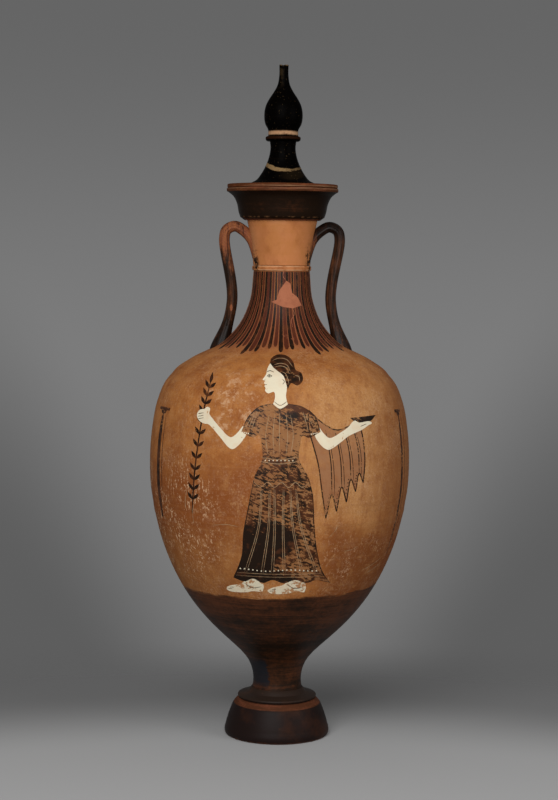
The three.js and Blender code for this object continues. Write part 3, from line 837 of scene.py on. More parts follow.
def handle_finish():
    """Streaky slip, black at the roots and the right arch, worn to clay at the neck and left arch."""
    colours = bpy.context.scene.jar_colours
    look = Finish("handle_slip")
    long_streaks = look.noise(1, 5, 0.62, stretch=(240, 240, 12))
    patches = look.noise(38, 4, 0.62)
    fine = look.noise(240, 4, 0.66)
    left = look.x.fall(-0.02, 0.0)
    at_neck = (look.beside + (patches - 0.5) * 0.010).fall(0.050, 0.058) * look.z.rise(0.70, 0.715)
    left_arch = left * (look.z + (patches - 0.5) * 0.07).rise(0.675, 0.745)
    right_arch = (1 - left) * look.z.rise(0.735, 0.752)
    roots = (look.z + (patches - 0.5) * 0.04).fall(0.600, 0.645)
    low, aside = look.z - 0.640, look.x + 0.074
    from_chip = (low * low + aside * aside * 6) ** 0.5
    chip = (from_chip + (fine - 0.5) * 0.006).fall(0.0035, 0.0055) * left
    streaked = long_streaks * 0.62 + patches * 0.20 + fine * 0.18
    worn = (streaked + at_neck * 0.17 + left_arch * 0.19 + chip * 0.3).rise(0.530, 0.740)
    thin = (long_streaks * 0.6 + patches * 0.4).rise(0.40, 0.64)
    pale = (long_streaks * 0.7 + fine * 0.3).rise(0.40, 0.64)
    tone = look.layers(
        colours.slip,
        (0.60 * thin, colours.slip_brown),
        (0.55 * roots, colours.black),
        ((0.50 + 0.40 * left) * worn, look.mix(0.36 * pale, colours.red, colours.clay)),
        (0.80 * right_arch, colours.black),
    )
    rough = 0.38 + 0.2 * worn + 0.1 * long_streaks
    return look.surface(tone, rough, long_streaks + fine * 0.3, relief=0.3 * MM, sheen=0.12)


def lid_finish():
    """The lid: glossy black, with a bare streak on its stem, a bare band below the knob and a worn edge."""
    colours = bpy.context.scene.jar_colours
    look = Finish("lid_black")
    ragged = look.noise(60, 4, 0.6) - 0.5
    fine = look.noise(260, 4, 0.6)
    brush = look.noise(1, 5, 0.6, stretch=(9, 9, 280))
    dust = look.noise(520, 2, 0.5).rise(0.70, 0.74)
    across = look.x - 0.007
    sagging = look.z + ragged * 0.0050 - across * across * 10.0
    drip = 0.0030 * (look.x + ragged * 0.02).fall(-0.012, 0.004)
    streak = (sagging + drip).rise(LID_TOP + 16.4 * MM, LID_TOP + 17.8 * MM)
    streak = streak * sagging.fall(LID_TOP + 20.0 * MM, LID_TOP + 21.2 * MM)
    bared = (0.34 + 0.24 * look.x.fall(0.0, 0.016)) * streak * fine.rise(0.25, 0.50)
    below_streak = sagging.band(LID_TOP + 4 * MM, LID_TOP + 17.5 * MM, 3 * MM) * look.x.rise(-0.012, 0.012)
    # Painted reflection: a faint olive sheen on the left side of the upper knob.
    knob_reflection = look.z.rise(KNOB_TIP - 42 * MM, KNOB_TIP - 12 * MM) * look.noise(70, 4, 0.6).rise(0.45, 0.62)
    below_knob = (look.z + ragged * 0.0030).band(KNOB_FOOT + 2.0 * MM, KNOB_FOOT + 7.0 * MM, 1.4 * MM)
    smeared = (fine * 0.5 + look.noise(110, 4, 0.6) * 0.5).rise(0.36, 0.52)
    band_clay = look.mix(0.6 + 0.9 * ragged, colours.neck, colours.pale_clay_and_highlight)
    collar = (look.z + ragged * 0.001).band(KNOB_FOOT - 4.5 * MM, KNOB_FOOT - 0.8 * MM, 0.8 * MM)
    edge = (look.radius + ragged * 0.001).rise(LID_RADIUS - 3.2 * MM, LID_RADIUS - 1.2 * MM)
    edge = edge * look.z.fall(LID_TOP, LID_TOP + 4 * MM)
    # Painted highlight: a pale line along the middle of the lid's worn edge, broken by the brush streaks.
    light = look.z.band(RIM + 1.2 * MM, RIM + 2.8 * MM, 0.5 * MM) * brush.rise(0.40, 0.58)
    # Painted shade: slip darkens the top of the lid's worn edge.
    painted_edge_shade = edge * look.z.rise(LID_TOP - 1.8 * MM, LID_TOP - 0.6 * MM)
    under = look.z.fall(RIM + 0.2 * MM, RIM + 0.6 * MM) * (1 - edge)
    tip = (look.z + ragged * 0.004).rise(KNOB_TIP - 2.5 * MM, KNOB_TIP - 0.8 * MM) * fine.rise(0.42, 0.56)
    tone = look.layers(
        colours.black,
        (0.18 * brush.rise(0.54, 0.75), colours.slip),
        (0.30 * dust, colours.olive_and_reflection),
        (0.02 * below_streak, colours.olive_and_reflection),
        (bared, colours.olive_and_reflection),
        # Painted reflection on the knob's left side.
        (0.06 * knob_reflection * look.x.fall(-0.004, 0.002), colours.olive_and_reflection),
        ((0.40 + 0.24 * smeared) * below_knob, band_clay),
        (0.16 * collar * look.radius.rise(0.0235, 0.0250), colours.slip_brown),
        (0.78 * edge, worn_edge(look)),
        # Painted highlight on the worn edge.
        (0.24 * edge * light, colours.pale_clay_and_highlight),
        # Painted shade along the top of the worn edge.
        (0.45 * painted_edge_shade, colours.slip),
        (under, colours.clay),
        (0.35 * tip, colours.olive_and_reflection),
    )
    dull = (fine * 0.6 + brush * 0.4).rise(0.42, 0.68)
    rough = 0.30 + 0.14 * dull + 0.25 * edge + 0.2 * streak
    return look.surface(tone, rough, brush + fine * 0.3, relief=0.12 * MM, sheen=0.006)


def foot_finish():
    """The foot: purplish slip, a bare red band, a rubbed lower edge and a faint painted sheen on the
    fillet's top.
    """
    colours = bpy.context.scene.jar_colours
    look = Finish("foot_slip")
    ragged = look.noise(55, 4, 0.6) - 0.5
    fine = look.noise(240, 4, 0.62)
    brush = look.noise(1, 5, 0.6, stretch=(6, 6, 260))
    clouds = look.noise(19, 4, 0.6)
    streaky = look.noise(1, 4, 0.6, stretch=(30, 30, 330))
    bare = look.mix((streaky * 0.6 + fine * 0.4).rise(0.42, 0.72), colours.slip_brown, colours.red)
    belt = (look.z + ragged * 0.0010).band(FOOT_TOP - 7.4 * MM, FOOT_TOP + 0.4 * MM, 0.5 * MM)
    rubbed = (look.z + ragged * 0.005 + (fine - 0.5) * 0.006).fall(0.8 * MM, 3.2 * MM)
    spots = look.noise(130, 4, 0.62).rise(0.67, 0.73)
    # Painted sheen: the fillet's top is lightened a little with pale clay.
    fillet_sheen = look.z.rise(FOOT_TOP + 1 * MM, FOOT_TOP + 4 * MM)
    tone = look.layers(
        colours.foot,
        (0.45 * brush.rise(0.5, 0.72), colours.slip),
        (0.22 * clouds.rise(0.5, 0.7), colours.slip_brown),
        (0.68 * belt, bare),
        (0.70 * rubbed, bare),
        (0.4 * spots, colours.slip_brown),
        # Painted sheen on the fillet's top.
        (0.016 * fillet_sheen, colours.pale_clay_and_highlight),
    )
    rough = 0.40 + 0.12 * brush + 0.2 * belt
    return look.surface(tone, rough, brush + fine * 0.4, relief=0.15 * MM, sheen=0.065)


def paint_finish(name, firm, full, thinned):
    """Paint in two tones, flaked in short dashes, least at the hem, the head and the far sides.

    firm is how much of it held.
    """
    colours = bpy.context.scene.jar_colours
    look = Finish(name)
    clay, clay_height = clay_tone(look)
    lost = look.layers(clay, (0.62, colours.ghost), (0.90 * look.z.rise(*TONGUE_ZONE), colours.red))
    dashes = look.noise(1, 5, 0.70, stretch=(130, 130, 300), warp=0.5, place=look.slanted)
    patch = look.noise(24, 4, 0.6)
    at_hem = (look.z + (patch - 0.5) * 0.12 + (dashes - 0.5) * 0.06).fall(0.315, 0.385)
    hem = (look.x + (patch - 0.5) * 0.10 + (dashes - 0.5) * 0.06).fall(-0.022, 0.030) * at_hem
    head = look.z.rise(0.522, 0.545) * 0.11
    tongue_ends = look.z.band(0.586, 0.614, 0.014) * 0.09
    far_sides = look.x.fall(-0.095, -0.065) * 0.10 + look.x.rise(0.10, 0.14) * 0.08
    chest = look.z.band(0.415, 0.50, 0.03) * 0.02
    loss = dashes * 0.64 + patch * 0.36 - hem * 0.17 - head + tongue_ends - far_sides + chest
    worn = loss.rise(0.492 + firm, 0.520 + firm)
    brushed = look.noise(60, 4, 0.62)
    paint = look.mix(0.75 * (brushed - hem * 0.14 - firm).rise(0.40, 0.60), full, thinned)
    tone = look.mix(0.92 * worn, paint, lost)
    height = brushed * (1 - worn) + clay_height * worn
    return look.surface(tone, 0.44 + 0.16 * worn, height, relief=0.1 * MM, sheen=0.1)


def slip_finish(name, firm):
    """Dark painted slip."""
    colours = bpy.context.scene.jar_colours
    return paint_finish(name, firm, colours.slip, colours.slip_brown)


def cream_finish():
    """Cream paint with soft stains and small brown spots where it has flaked."""
    colours = bpy.context.scene.jar_colours
    look = Finish("cream_paint")
    mottle = look.noise(60, 5, 0.6)
    at_feet = look.z.fall(0.255, 0.275)
    flakes = look.noise(130, 5, 0.68) * 0.6 + look.noise(36, 3, 0.5) * 0.4
    lost = (flakes + at_feet * 0.065).rise(0.590, 0.620)
    tone = look.layers(
        colours.cream,
        (0.35 * mottle.rise(0.42, 0.75), colours.pale_clay_and_highlight),
        (0.85 * lost, look.mix(at_feet, colours.clay_tan, colours.clay)),
    )
    return look.surface(tone, 0.62 + 0.1 * mottle, mottle - lost, relief=0.15 * MM, sheen=0.2)


def wash_finish():
    """Thin brown wash with streaks and the clay showing through."""
    colours = bpy.context.scene.jar_colours
    look = Finish("brown_wash")
    clay, clay_height = clay_tone(look)
    mottle = look.noise(85, 5, 0.64)
    patch = look.noise(21, 4, 0.6)
    through = (mottle * 0.5 + patch * 0.5).rise(0.50, 0.60)
    tone = look.layers(
        colours.wash,
        (0.5 * mottle.rise(0.40, 0.7), colours.clay_deep),
        (0.40 * through, clay),
    )
    return look.surface(tone, 0.60 + 0.1 * mottle, clay_height, relief=0.12 * MM, sheen=0.2)


def incised_finish():
    """Clay scratched bare by the point that drew the lines in the slip."""
    colours = bpy.context.scene.jar_colours
    look = Finish("incised_clay")
    mottle = look.noise(160, 4, 0.6)
    tone = look.mix(0.7 * mottle.rise(0.40, 0.62), colours.incised, colours.ghost)
    return look.surface(tone, 0.7 + 0.1 * mottle, mottle, relief=0.1 * MM, sheen=0.2)


def fill_finish():
    """The mended patch: plain pink clay, smoothed with a tool."""
    colours = bpy.context.scene.jar_colours
    look = Finish("mended_clay")
    mottle = look.noise(70, 4, 0.6)
    tone = look.mix(0.45 * mottle.rise(0.40, 0.7), colours.fill, colours.red)
    return look.surface(tone, 0.68 + 0.1 * mottle, mottle, relief=0.12 * MM, sheen=0.2)


# Paint on the wall, in flat millimetres that are then laid on the wall

# Radius at which the wall is unrolled
UNROLLED = 100.0
# Points nearer than this are one, and a triangle lower than this is left out.
FLAT_REACH = 1e-4
SLIVER = 0.004
# Longest step along the edge of paint, and the place of its first inner point, as shares of the grid
EDGE_STEP = 0.6
INNER_START = (0.42, 0.33)
# How far paint reaches into the wall, and the span over which the wall's slope is taken
PAINT_BED = 0.05 * MM
SLOPE_REACH = 0.5 * MM
# The farthest to the side that the front shows, as a share of the wall's radius
SIGHT_EDGE = 0.999
# The picture's ground line above the floor
PICTURE_GROUND = 239
# A stroke is at its full width from this part of its length on.
SWELL_PART = 6
# Sides of a dot, steps of a leaf's outline, and the share of a leaf's length at its broadest
DOT_SIDES = 8
LEAF_STEPS = 5
LEAF_BELLY = 0.45
# Points of a stripe's rounded end, and how much longer than round it is
END_POINTS = 9
END_STRETCH = 1.6


def inside(points, outline):
    """Which points lie inside a closed outline."""
    x, y = points[:, 0], points[:, 1]
    found = np.zeros(len(points), bool)
    for (ax, ay), (bx, by) in zip(outline, np.roll(outline, -1, axis=0)):
        if ay == by:
            continue
        crossed = (ay > y) != (by > y)
        found ^= crossed & (x < ax + (y - ay) * (bx - ax) / (by - ay))
    return found


def covered(points, shapes, cuts):
    """Which points lie in a shape and in no cut."""
    found = np.zeros(len(points), bool)
    for outline in shapes:
        found |= inside(points, outline)
    for outline in cuts:
        found &= ~inside(points, outline)
    return found


def refined(outline, step):
    """A closed outline with no stretch longer than a step."""
    outline = np.asarray(outline, float)
    line = []
    for start, end in zip(outline, np.roll(outline, -1, axis=0)):
        parts = max(1, math.ceil(np.linalg.norm(end - start) / step))
        line.extend(start + (end - start) * k / parts for k in range(parts))
    return np.array(line)


def seen_from_front(points):
    """Turn and height of points of the picture, across and above its ground line as the front shows it."""
    height = (points[:, 1] + PICTURE_GROUND) * MM
    share = points[:, 0] * MM / wall_radius(height)
    return np.arcsin(np.clip(share, -SIGHT_EDGE, SIGHT_EDGE)), height


def unrolled(points):
    """Turn and height of points on the unrolled wall."""
    return points[:, 0] / UNROLLED, points[:, 1] * MM


def above_floor(lines):
    """Lines given above the floor, as lines above the picture's ground line."""
    return [np.array(line) - (0, PICTURE_GROUND) for line in lines]


def on_wall(turn, height, lift):
    """Points in space at a lift above the thrown wall, square to it."""
    slope = (wall_radius(height + SLOPE_REACH) - wall_radius(height - SLOPE_REACH)) / (2 * SLOPE_REACH)
    out = 1 / np.sqrt(1 + slope**2)
    radius = wall_radius(height) - hand_work(turn, height) + lift * out
    return on_axis(turn, radius, height - lift * slope * out)


def slimness(triangles):
    """The smallest height of each flat triangle."""
    sides = np.roll(triangles, -1, axis=1) - triangles
    twice_area = np.abs(sides[:, 0, 0] * sides[:, 1, 1] - sides[:, 0, 1] * sides[:, 1, 0])
    return twice_area / np.linalg.norm(sides, axis=2).max(axis=1)


def flat_paint(shapes, cuts, grid):
    """Flat points and triangles of the shapes without the cuts, with inner points on a grid."""
    corners, edges = [], []
    for outline in shapes + cuts:
        first = len(corners)
        corners.extend(Vector(place) for place in outline)
        edges.extend((first + k, first + (k + 1) % len(outline)) for k in range(len(outline)))
    every = np.vstack(shapes)
    low, high = every.min(axis=0) + np.array(INNER_START) * grid, every.max(axis=0)
    across, up = np.meshgrid(np.arange(low[0], high[0], grid), np.arange(low[1], high[1], grid))
    inner = np.column_stack([across.ravel(), up.ravel()])
    corners.extend(Vector(place) for place in inner[covered(inner, shapes, cuts)])
    flat, _, triangles, *_ = delaunay_2d_cdt(corners, edges, [], 0, FLAT_REACH)
    flat = np.array([tuple(place) for place in flat])
    triangles = np.array(triangles)
    triangles = triangles[covered(flat[triangles].mean(axis=1), shapes, cuts)]
    triangles = triangles[slimness(flat[triangles]) > SLIVER]
    used, triangles = np.unique(triangles, return_inverse=True)
    return flat[used], triangles.reshape(-1, 3)


def painted_mesh(name, shapes, cuts, lift, placed):
    """A closed skin of paint on the wall: the shapes without the cuts, as thick as its lift."""
    grid = bpy.context.scene.jar_shape.grid / MM
    shapes, cuts = ([refined(outline, EDGE_STEP * grid) for outline in group] for group in (shapes, cuts))
    flat, triangles = flat_paint(shapes, cuts, grid)
    turn, height = placed(flat)
    count = len(flat)
    corners = np.vstack([on_wall(turn, height, lift), on_wall(turn, height, -PAINT_BED)])
    faces = triangles.tolist() + (triangles[:, ::-1] + count).tolist()
    sides = {(a, b) for face in triangles.tolist() for a, b in zip(face, face[1:] + face[:1])}
    faces += [[b, a, a + count, b + count] for a, b in sides if (b, a) not in sides]
    mesh = bpy.data.meshes.new(name)
    mesh.from_pydata(corners.tolist(), [], faces)
    return mesh


def painted_piece(name, shapes, cuts, lift, placed, finish):
    """Adds a skin of paint that rides on the jar."""
    piece(name, painted_mesh(name, shapes, cuts, lift, placed), [finish], JAR)


def stroke(points, width, steps=6, taper=0.35):
    """The outline of a brush stroke along a smooth line. taper is how much of its width its ends keep."""
    line = smooth_line(points, steps)
    way = directions(line)
    side = np.column_stack([-way[:, 1], way[:, 0]])
    along = np.linspace(0, 1, len(line))
    swell = taper + (1 - taper) * np.minimum(1, SWELL_PART * np.minimum(along, 1 - along))
    half = side * (0.5 * width * swell)[:, None]
    return np.vstack([line + half, (line - half)[::-1]])


def dot(place, radius):
    """A round dot."""
    turns = turns_round(DOT_SIDES)
    return np.column_stack([place[0] + radius * np.cos(turns), place[1] + radius * np.sin(turns)])


def leaf(foot, tip, width):
    """A pointed leaf from its foot to its tip."""
    foot, tip = np.array(foot, float), np.array(tip, float)
    side = np.array([-(tip - foot)[1], (tip - foot)[0]])
    side *= 0.5 * width / np.linalg.norm(side)
    middle = foot + LEAF_BELLY * (tip - foot)
    outline = [foot, foot, middle + side, tip, tip, middle - side]
    return smooth_line(outline, LEAF_STEPS, closed=True)


def strip(across, low, high, half_low, half_high):
    """An upright stripe with a rounded lower end."""
    reach = END_STRETCH * half_low
    turns = np.linspace(math.pi, 2 * math.pi, END_POINTS)
    lower = [(across + half_low * math.cos(t), low + reach * (1 + math.sin(t))) for t in turns]
    return np.array([*lower, (across + half_high, high), (across - half_high, high)])


# Number of dark tongues, and the turn to each side of a handle's middle that has none
TONGUES = 34
HANDLE_GAP = math.radians(13)


def tongue_shapes(offset, breadth, end):
    """Tongues round the neck's foot, none at the handles. offset and breadth are shares of their spacing.

    Their ends, leans and breadths vary a little, as a hand paints them.
    """
    pitch = 2 * math.pi * UNROLLED / TONGUES
    high = RING_FOOT / MM - 1.0
    shapes = []
    for k in range(TONGUES):
        across = (k + offset - TONGUES / 2) * pitch
        if abs(abs(across / UNROLLED) - math.pi / 2) < HANDLE_GAP:
            continue
        low = end + 3.5 * math.sin(2.1 * k + offset) + 2.0 * math.sin(5.3 * k)
        lean = 0.025 * pitch * math.sin(3.7 * k)
        half = 0.5 * (breadth + 0.05 * math.sin(1.9 * k)) * pitch
        shapes.append(strip(across + lean, low, high, 0.85 * half, half))
    return shapes


# A column at full breadth: half widths of its plate and bell, width of its shaft, and heights
PLATE_HALF = 10.5
BELL_HALF = 6.0
BELL_FOOT = 0.6
SHAFT_WIDTH = 5.6
PLATE_HEIGHT = 4
BELL_HEIGHT = 4
# How far the bell reaches down onto the shaft and up into the plate
BELL_LAP = (-1, 0.2)
# The finer line beside the shaft, from its middle line and from its top, middle and foot
BESIDE_LINE = ((6.4, -4), (6.3, 15), (6.0, 40))
BESIDE_WIDTH = 0.9


def block(across, low, high, half_low, half_high):
    """A block with level ends and straight sides."""
    lower = [(across - half_low, low), (across + half_low, low)]
    return np.array([*lower, (across + half_high, high), (across - half_high, high)], float)


def column_shapes(turn, low, high, breadth):
    """A slender column: a broad capital, a tapering line and a finer one beside it."""
    across = turn * UNROLLED
    plate, bell, shaft = PLATE_HALF * breadth, BELL_HALF * breadth, SHAFT_WIDTH * breadth
    top = high + BELL_HEIGHT
    middle = 0.5 * (high + low)
    levels = (high, middle, low)
    beside = [(across + aside, level + up) for (aside, up), level in zip(BESIDE_LINE, levels)]
    return [
        block(across, top, top + PLATE_HEIGHT, plate, plate),
        block(across, high + BELL_LAP[0], top + BELL_LAP[1], BELL_FOOT * bell, bell),
        stroke([(across, high), (across - 0.3, middle), (across - 0.4, low)], shaft, taper=0.5),
        stroke(beside, BESIDE_WIDTH),
    ]


# The picture, in millimetres across and above its ground line, with each corner given twice

ROBE = [
    (-11, 273), (-11, 273), (-30, 268), (-45, 254), (-54, 233), (-54, 233), (-38, 226), (-29, 229),
    (-25, 212), (-24, 197), (-36, 168), (-44, 124), (-50, 90), (-52, 56), (-64, 22), (-64, 22),
    (-48, 17), (-36, 22), (-22, 16), (-8, 21), (8, 16), (24, 21), (40, 16), (54, 20), (76, 13),
    (76, 13), (62, 34), (54, 66), (50, 100), (47, 145), (41, 170), (27, 197), (28, 213), (32, 229),
    (40, 226), (57, 234), (57, 234), (50, 254), (33, 268), (12, 273), (12, 273), (0, 266),
]
CLOAK = [
    (40, 264), (40, 264), (60, 246), (80, 236), (98, 241), (112, 246), (112, 246), (118, 222),
    (121, 190), (119, 160), (119, 160), (113, 174), (108, 148), (108, 148), (101, 166), (95, 134),
    (95, 134), (88, 156), (81, 121), (81, 121), (74, 146), (66, 112), (66, 112), (60, 150),
    (54, 190), (47, 215), (40, 240),
]
CLOAK_TIPS = ((66, 112), (81, 121), (95, 134), (108, 148), (119, 160))
CLOAK_NOTCHES = ((74, 146), (88, 156), (101, 166), (113, 174))
HAIR = [
    (-15, 326), (-15, 326), (-14, 332), (-5, 337.5), (8, 336.5), (17.5, 329), (21.5, 318),
    (29.5, 314), (31.5, 304), (24, 297.5), (15, 300.5), (10.5, 292), (10.5, 292), (7.5, 301),
    (4, 310), (-3, 315.5), (-9.5, 320),
]
FACE = [
    (-13, 327), (-18.5, 320), (-19.8, 314.5), (-20.6, 311.5), (-25.4, 304.8), (-25.4, 304.8),
    (-22, 302.6), (-23.2, 300), (-21.2, 298.2), (-22.6, 296.2), (-20.8, 293.6), (-21.4, 290),
    (-17, 286.6), (-9, 288.6), (-7.6, 280), (-10.5, 271), (-10.5, 271), (0, 262), (11, 271),
    (11, 271), (8, 282), (9, 294), (7.5, 308), (0, 320),
]
LEFT_ARM = [
    (-43, 238), (-43, 238), (-50, 224), (-59, 213), (-66, 208.5), (-72, 211), (-82, 222),
    (-93, 234), (-101, 241), (-107, 241.5), (-114, 245), (-118, 252), (-114, 260), (-107, 262),
    (-103, 265), (-99, 263), (-100, 256), (-94, 248), (-83, 236), (-73, 226.5), (-68, 225),
    (-62, 229), (-52, 241), (-52, 241),
]
RIGHT_ARM = [
    (46, 236), (46, 236), (52, 223), (61, 212.5), (68, 209), (75, 211.5), (86, 219), (98, 227.5),
    (108, 231.5), (117, 235), (125, 240), (131, 243), (127, 246), (112, 245), (106, 248),
    (102, 246), (97, 240), (84, 231.5), (74, 226), (69, 225.5), (62, 231), (54, 242), (54, 242),
]
FOOT = [
    (-25, 24), (-25, 24), (-20.5, 10), (-22.5, 1.5), (-22.5, 1.5), (-36, 2.5), (-46, 0), (-70, 0),
    (-75, 4), (-69, 8.5), (-52, 14), (-42, 26), (-42, 26),
]
BOWL = [(99, 252), (99, 252), (137, 254), (137, 254), (130, 247), (119, 244), (107, 246)]
STEM = [(-124, 112), (-120, 175), (-110, 250), (-99, 302)]
REAR_FOOT_STEP = 60
BELT_HEIGHT = 196

# Strokes of the picture, each with its width and its points
ROBE_EDGES = (
    (1.7, [(41, 169), (46.5, 145), (49.4, 100), (53.4, 66), (61.4, 34), (73, 15)]),
    (1.4, [(-35.6, 167), (-43.5, 124), (-49.4, 90), (-51.5, 56), (-62, 24)]),
    (1.4, [(13, 272.4), (33, 267.4), (49.4, 253.4), (56, 235.5)]),
    (1.4, [(-13, 272.4), (-30, 267.4), (-44.4, 253.4), (-53, 235)]),
)
HAIR_WAVES = (
    (0.8, [(-12, 330), (-2, 333), (9, 331), (17, 322)]),
    (0.9, [(-9, 324.5), (0, 326.5), (9, 324), (14, 316)]),
    (0.9, [(-8, 321.5), (0, 323), (8, 320.5), (12.5, 313)]),
    (0.8, [(1, 316), (7, 313), (10.5, 305), (12, 299)]),
    (0.8, [(20, 311), (26, 309), (27, 303)]),
)
FACE_LINES = (
    (0.8, [(-19.2, 309.4), (-16.4, 311.4), (-11.8, 309.8)]),
    (0.6, [(-18.8, 309.2), (-15.6, 308.2), (-12.0, 309.6)]),
    (0.8, [(-19.3, 315.0), (-15.2, 316.6), (-9.5, 314.8)]),
    (0.6, [(-21.6, 298.2), (-18.9, 298.0)]),
    (0.5, [(-22.8, 303.8), (-21.2, 304.8)]),
    (0.7, [(2.5, 306), (5.5, 302.4), (2.8, 298.8)]),
    (0.8, [(-9.4, 276), (0, 270.5), (9.8, 276)]),
)
HAND_LINES = (
    (0.7, [(-116, 247.5), (-108, 249.5)]),
    (0.7, [(-116, 251.0), (-108, 253.0)]),
    (0.7, [(-116, 254.5), (-108, 256.5)]),
    (0.7, [(114, 239.5), (123, 242.5)]),
)
FOOT_LINES = (
    (0.7, [(-72, 3.2), (-66, 4.2)]),
    (0.7, [(-69, 6.0), (-63, 7.0)]),
    (0.8, [(-48, 14.5), (-37, 8), (-24, 10)]),
)
EYE = (-16.0, 309.7)
EYE_RADIUS = 0.95

# Widths of the picture's lines and radii of its dots
FOLD_WIDTH = 0.75
BELT_WIDTH = 0.9
BRANCH_WIDTH = 2.0
LEAF_WIDTH = 4.6
CLOAK_EDGE_WIDTH = 1.8
CLOAK_FOLD_WIDTH = 1.5
CLOAK_CREASE_WIDTH = 0.9
CLOAK_DOT = 0.9
HEM_DOT = 1.05
BELT_DOT = 0.85

# Rows drawn by hand: number of places, first one, step, and how far and how fast they stray
SKIRT_TOPS = (6, -17, 6.6, 1.2, 2.3)
SKIRT_FEET = (6, -48, 19.5, 4.0, 1.7)
OVERFOLD = (9, -36, 9.75)
CHEST_FOLDS = (5, -22, 11, 1.5, 2.9)
CLOAK_FOLDS = (4, 64, 13)
CLOAK_FOLD_LEVELS = (4, 236, 1.5)
HEM_DOTS = (19, -54, 6.0)
BELT_DOTS = (8, -20, 5.5)
SLEEVE_DOTS = (4, 44, 2.6)
SLEEVE_DOT_LEVELS = (4, 231, 0.5)

# Heights and places of the robe's lines
SKIRT_LEVELS = (154, 100, 32)
FOLD_GAP = 3.2
OVERFOLD_LEVELS = (164, 157)
BELT_EDGES = (-3.2, 2.8)
BELT_SAG = ((-27, 0), (0, -3), (28, 1))
CHEST_LEVELS = (261, 230, 203)
NECK_SLOPE = 0.15
SLEEVE_FOLDS = (
    ((32, 262), (40, 235)),
    ((36, 258), (44, 237)),
    ((40, 254), (48, 239)),
)
HEM_LINES = (
    [(-60, 26), (-18, 25.5), (22, 25.5), (62, 25.5)],
    [(-59.1, 30.5), (-18, 30), (22, 30), (62, 30)],
)
HEM_DOT_LEVEL = 35.5
HEM_DOT_WAVE = 1.2
HEM_DOT_RATE = 0.09
BELT_DOT_DROP = 1.5

# The branch: steps of its line between two places, and how far its leaves reach along it and aside
BRANCH_STEPS = 9
FIRST_LEAF = 3
LEAF_EVERY = 2
LEAF_ROOT = 0.6
LEAF_ALONG = 10
LEAF_ASIDE = 7.5
TIP_LEAF = 11

# The cloak: how much width the ends of its outline keep, bows of its folds, and dots between two corners
CLOAK_EDGE_TAPER = 0.8
CLOAK_FOLD_BOW = (3, 0)
CREASE_TOP = (5, -8)
CREASE_BOW = (4, -6)
CREASE_END = (-3, -2)
CLOAK_DOT_SHARES = (0.12, 0.88, 6)
CLOAK_DOT_PLACE = (-2.6, 4.0)


def hand_row(count, first, step, stray=0.0, rate=0.0):
    """Places in a row drawn by hand, even but for how far and how fast they stray."""
    return [first + step * k + stray * math.sin(rate * k) for k in range(count)]


def strokes(lines, taper=0.35):
    """Brush strokes from their widths and points."""
    return [stroke(points, width, taper=taper) for width, points in lines]


def robe_folds():
    """Incised lines of the robe: folds to the hem, overfold, belt, folds of chest and sleeves, hem."""
    folds = []
    high, middle, low = SKIRT_LEVELS
    for top, foot in zip(hand_row(*SKIRT_TOPS), hand_row(*SKIRT_FEET)):
        for gap in (0, FOLD_GAP):
            between = 0.6 * top + 0.4 * foot + 0.7 * gap
            points = [(1.5 * top + 0.5 * gap, high), (between, middle), (foot + gap, low)]
            folds.append((FOLD_WIDTH, points))
    zigzag = [(across, OVERFOLD_LEVELS[k % 2]) for k, across in enumerate(hand_row(*OVERFOLD))]
    folds.append((BELT_WIDTH, zigzag))
    for edge in BELT_EDGES:
        folds.append((BELT_WIDTH, [(across, BELT_HEIGHT + edge + sag) for across, sag in BELT_SAG]))
    high, middle, low = CHEST_LEVELS
    for side in hand_row(*CHEST_FOLDS):
        top = (0.7 * side, high - NECK_SLOPE * abs(side))
        folds.append((FOLD_WIDTH, [top, (0.9 * side, middle), (0.75 * side, low)]))
    for side in (-1, 1):
        for fold in SLEEVE_FOLDS:
            folds.append((FOLD_WIDTH, [(side * across, level) for across, level in fold]))
    folds += [(FOLD_WIDTH, line) for line in HEM_LINES]
    return strokes(folds)


def branch_shapes():
    """A leafy branch held upright before the figure."""
    line = smooth_line(STEM, BRANCH_STEPS)
    shapes = [stroke(STEM, BRANCH_WIDTH, steps=BRANCH_STEPS)]
    for k in range(FIRST_LEAF, len(line) - 1, LEAF_EVERY):
        way = line[k + 1] - line[k - 1]
        way /= np.linalg.norm(way)
        side = np.array([-way[1], way[0]])
        for hand in (-1, 1):
            foot = line[k] + LEAF_ROOT * hand * side
            shapes.append(leaf(foot, foot + LEAF_ALONG * way + LEAF_ASIDE * hand * side, LEAF_WIDTH))
    tip = line[-1] - line[-2]
    shapes.append(leaf(line[-2], line[-1] + TIP_LEAF * tip / np.linalg.norm(tip), LEAF_WIDTH))
    return shapes


def cloak_lines():
    """Dark outline, folds and dotted hem of the cloak."""
    corners = [k for k in range(1, len(CLOAK)) if CLOAK[k] == CLOAK[k - 1]]
    stretches = [CLOAK[start:end] for start, end in zip(corners, corners[1:])]
    stretches.append(CLOAK[corners[-1] :] + CLOAK[:1])
    shapes = [stroke(stretch, CLOAK_EDGE_WIDTH, taper=CLOAK_EDGE_TAPER) for stretch in stretches]
    tops = np.column_stack([hand_row(*CLOAK_FOLDS), hand_row(*CLOAK_FOLD_LEVELS)])
    tips, notches = np.array(CLOAK_TIPS), np.array(CLOAK_NOTCHES)
    for top, notch, tip in zip(tops, notches, tips[1:]):
        middle = 0.5 * (top + notch) + CLOAK_FOLD_BOW
        crease_end = np.array([tip[0], notch[1]]) + CREASE_END
        shapes.append(stroke([top, middle, notch], CLOAK_FOLD_WIDTH))
        shapes.append(stroke([top + CREASE_TOP, middle + CREASE_BOW, crease_end], CLOAK_CREASE_WIDTH))
    for tip, notch in zip(tips, notches):
        for share in np.linspace(*CLOAK_DOT_SHARES):
            shapes.append(dot(tip + share * (notch - tip) + CLOAK_DOT_PLACE, CLOAK_DOT))
    return shapes


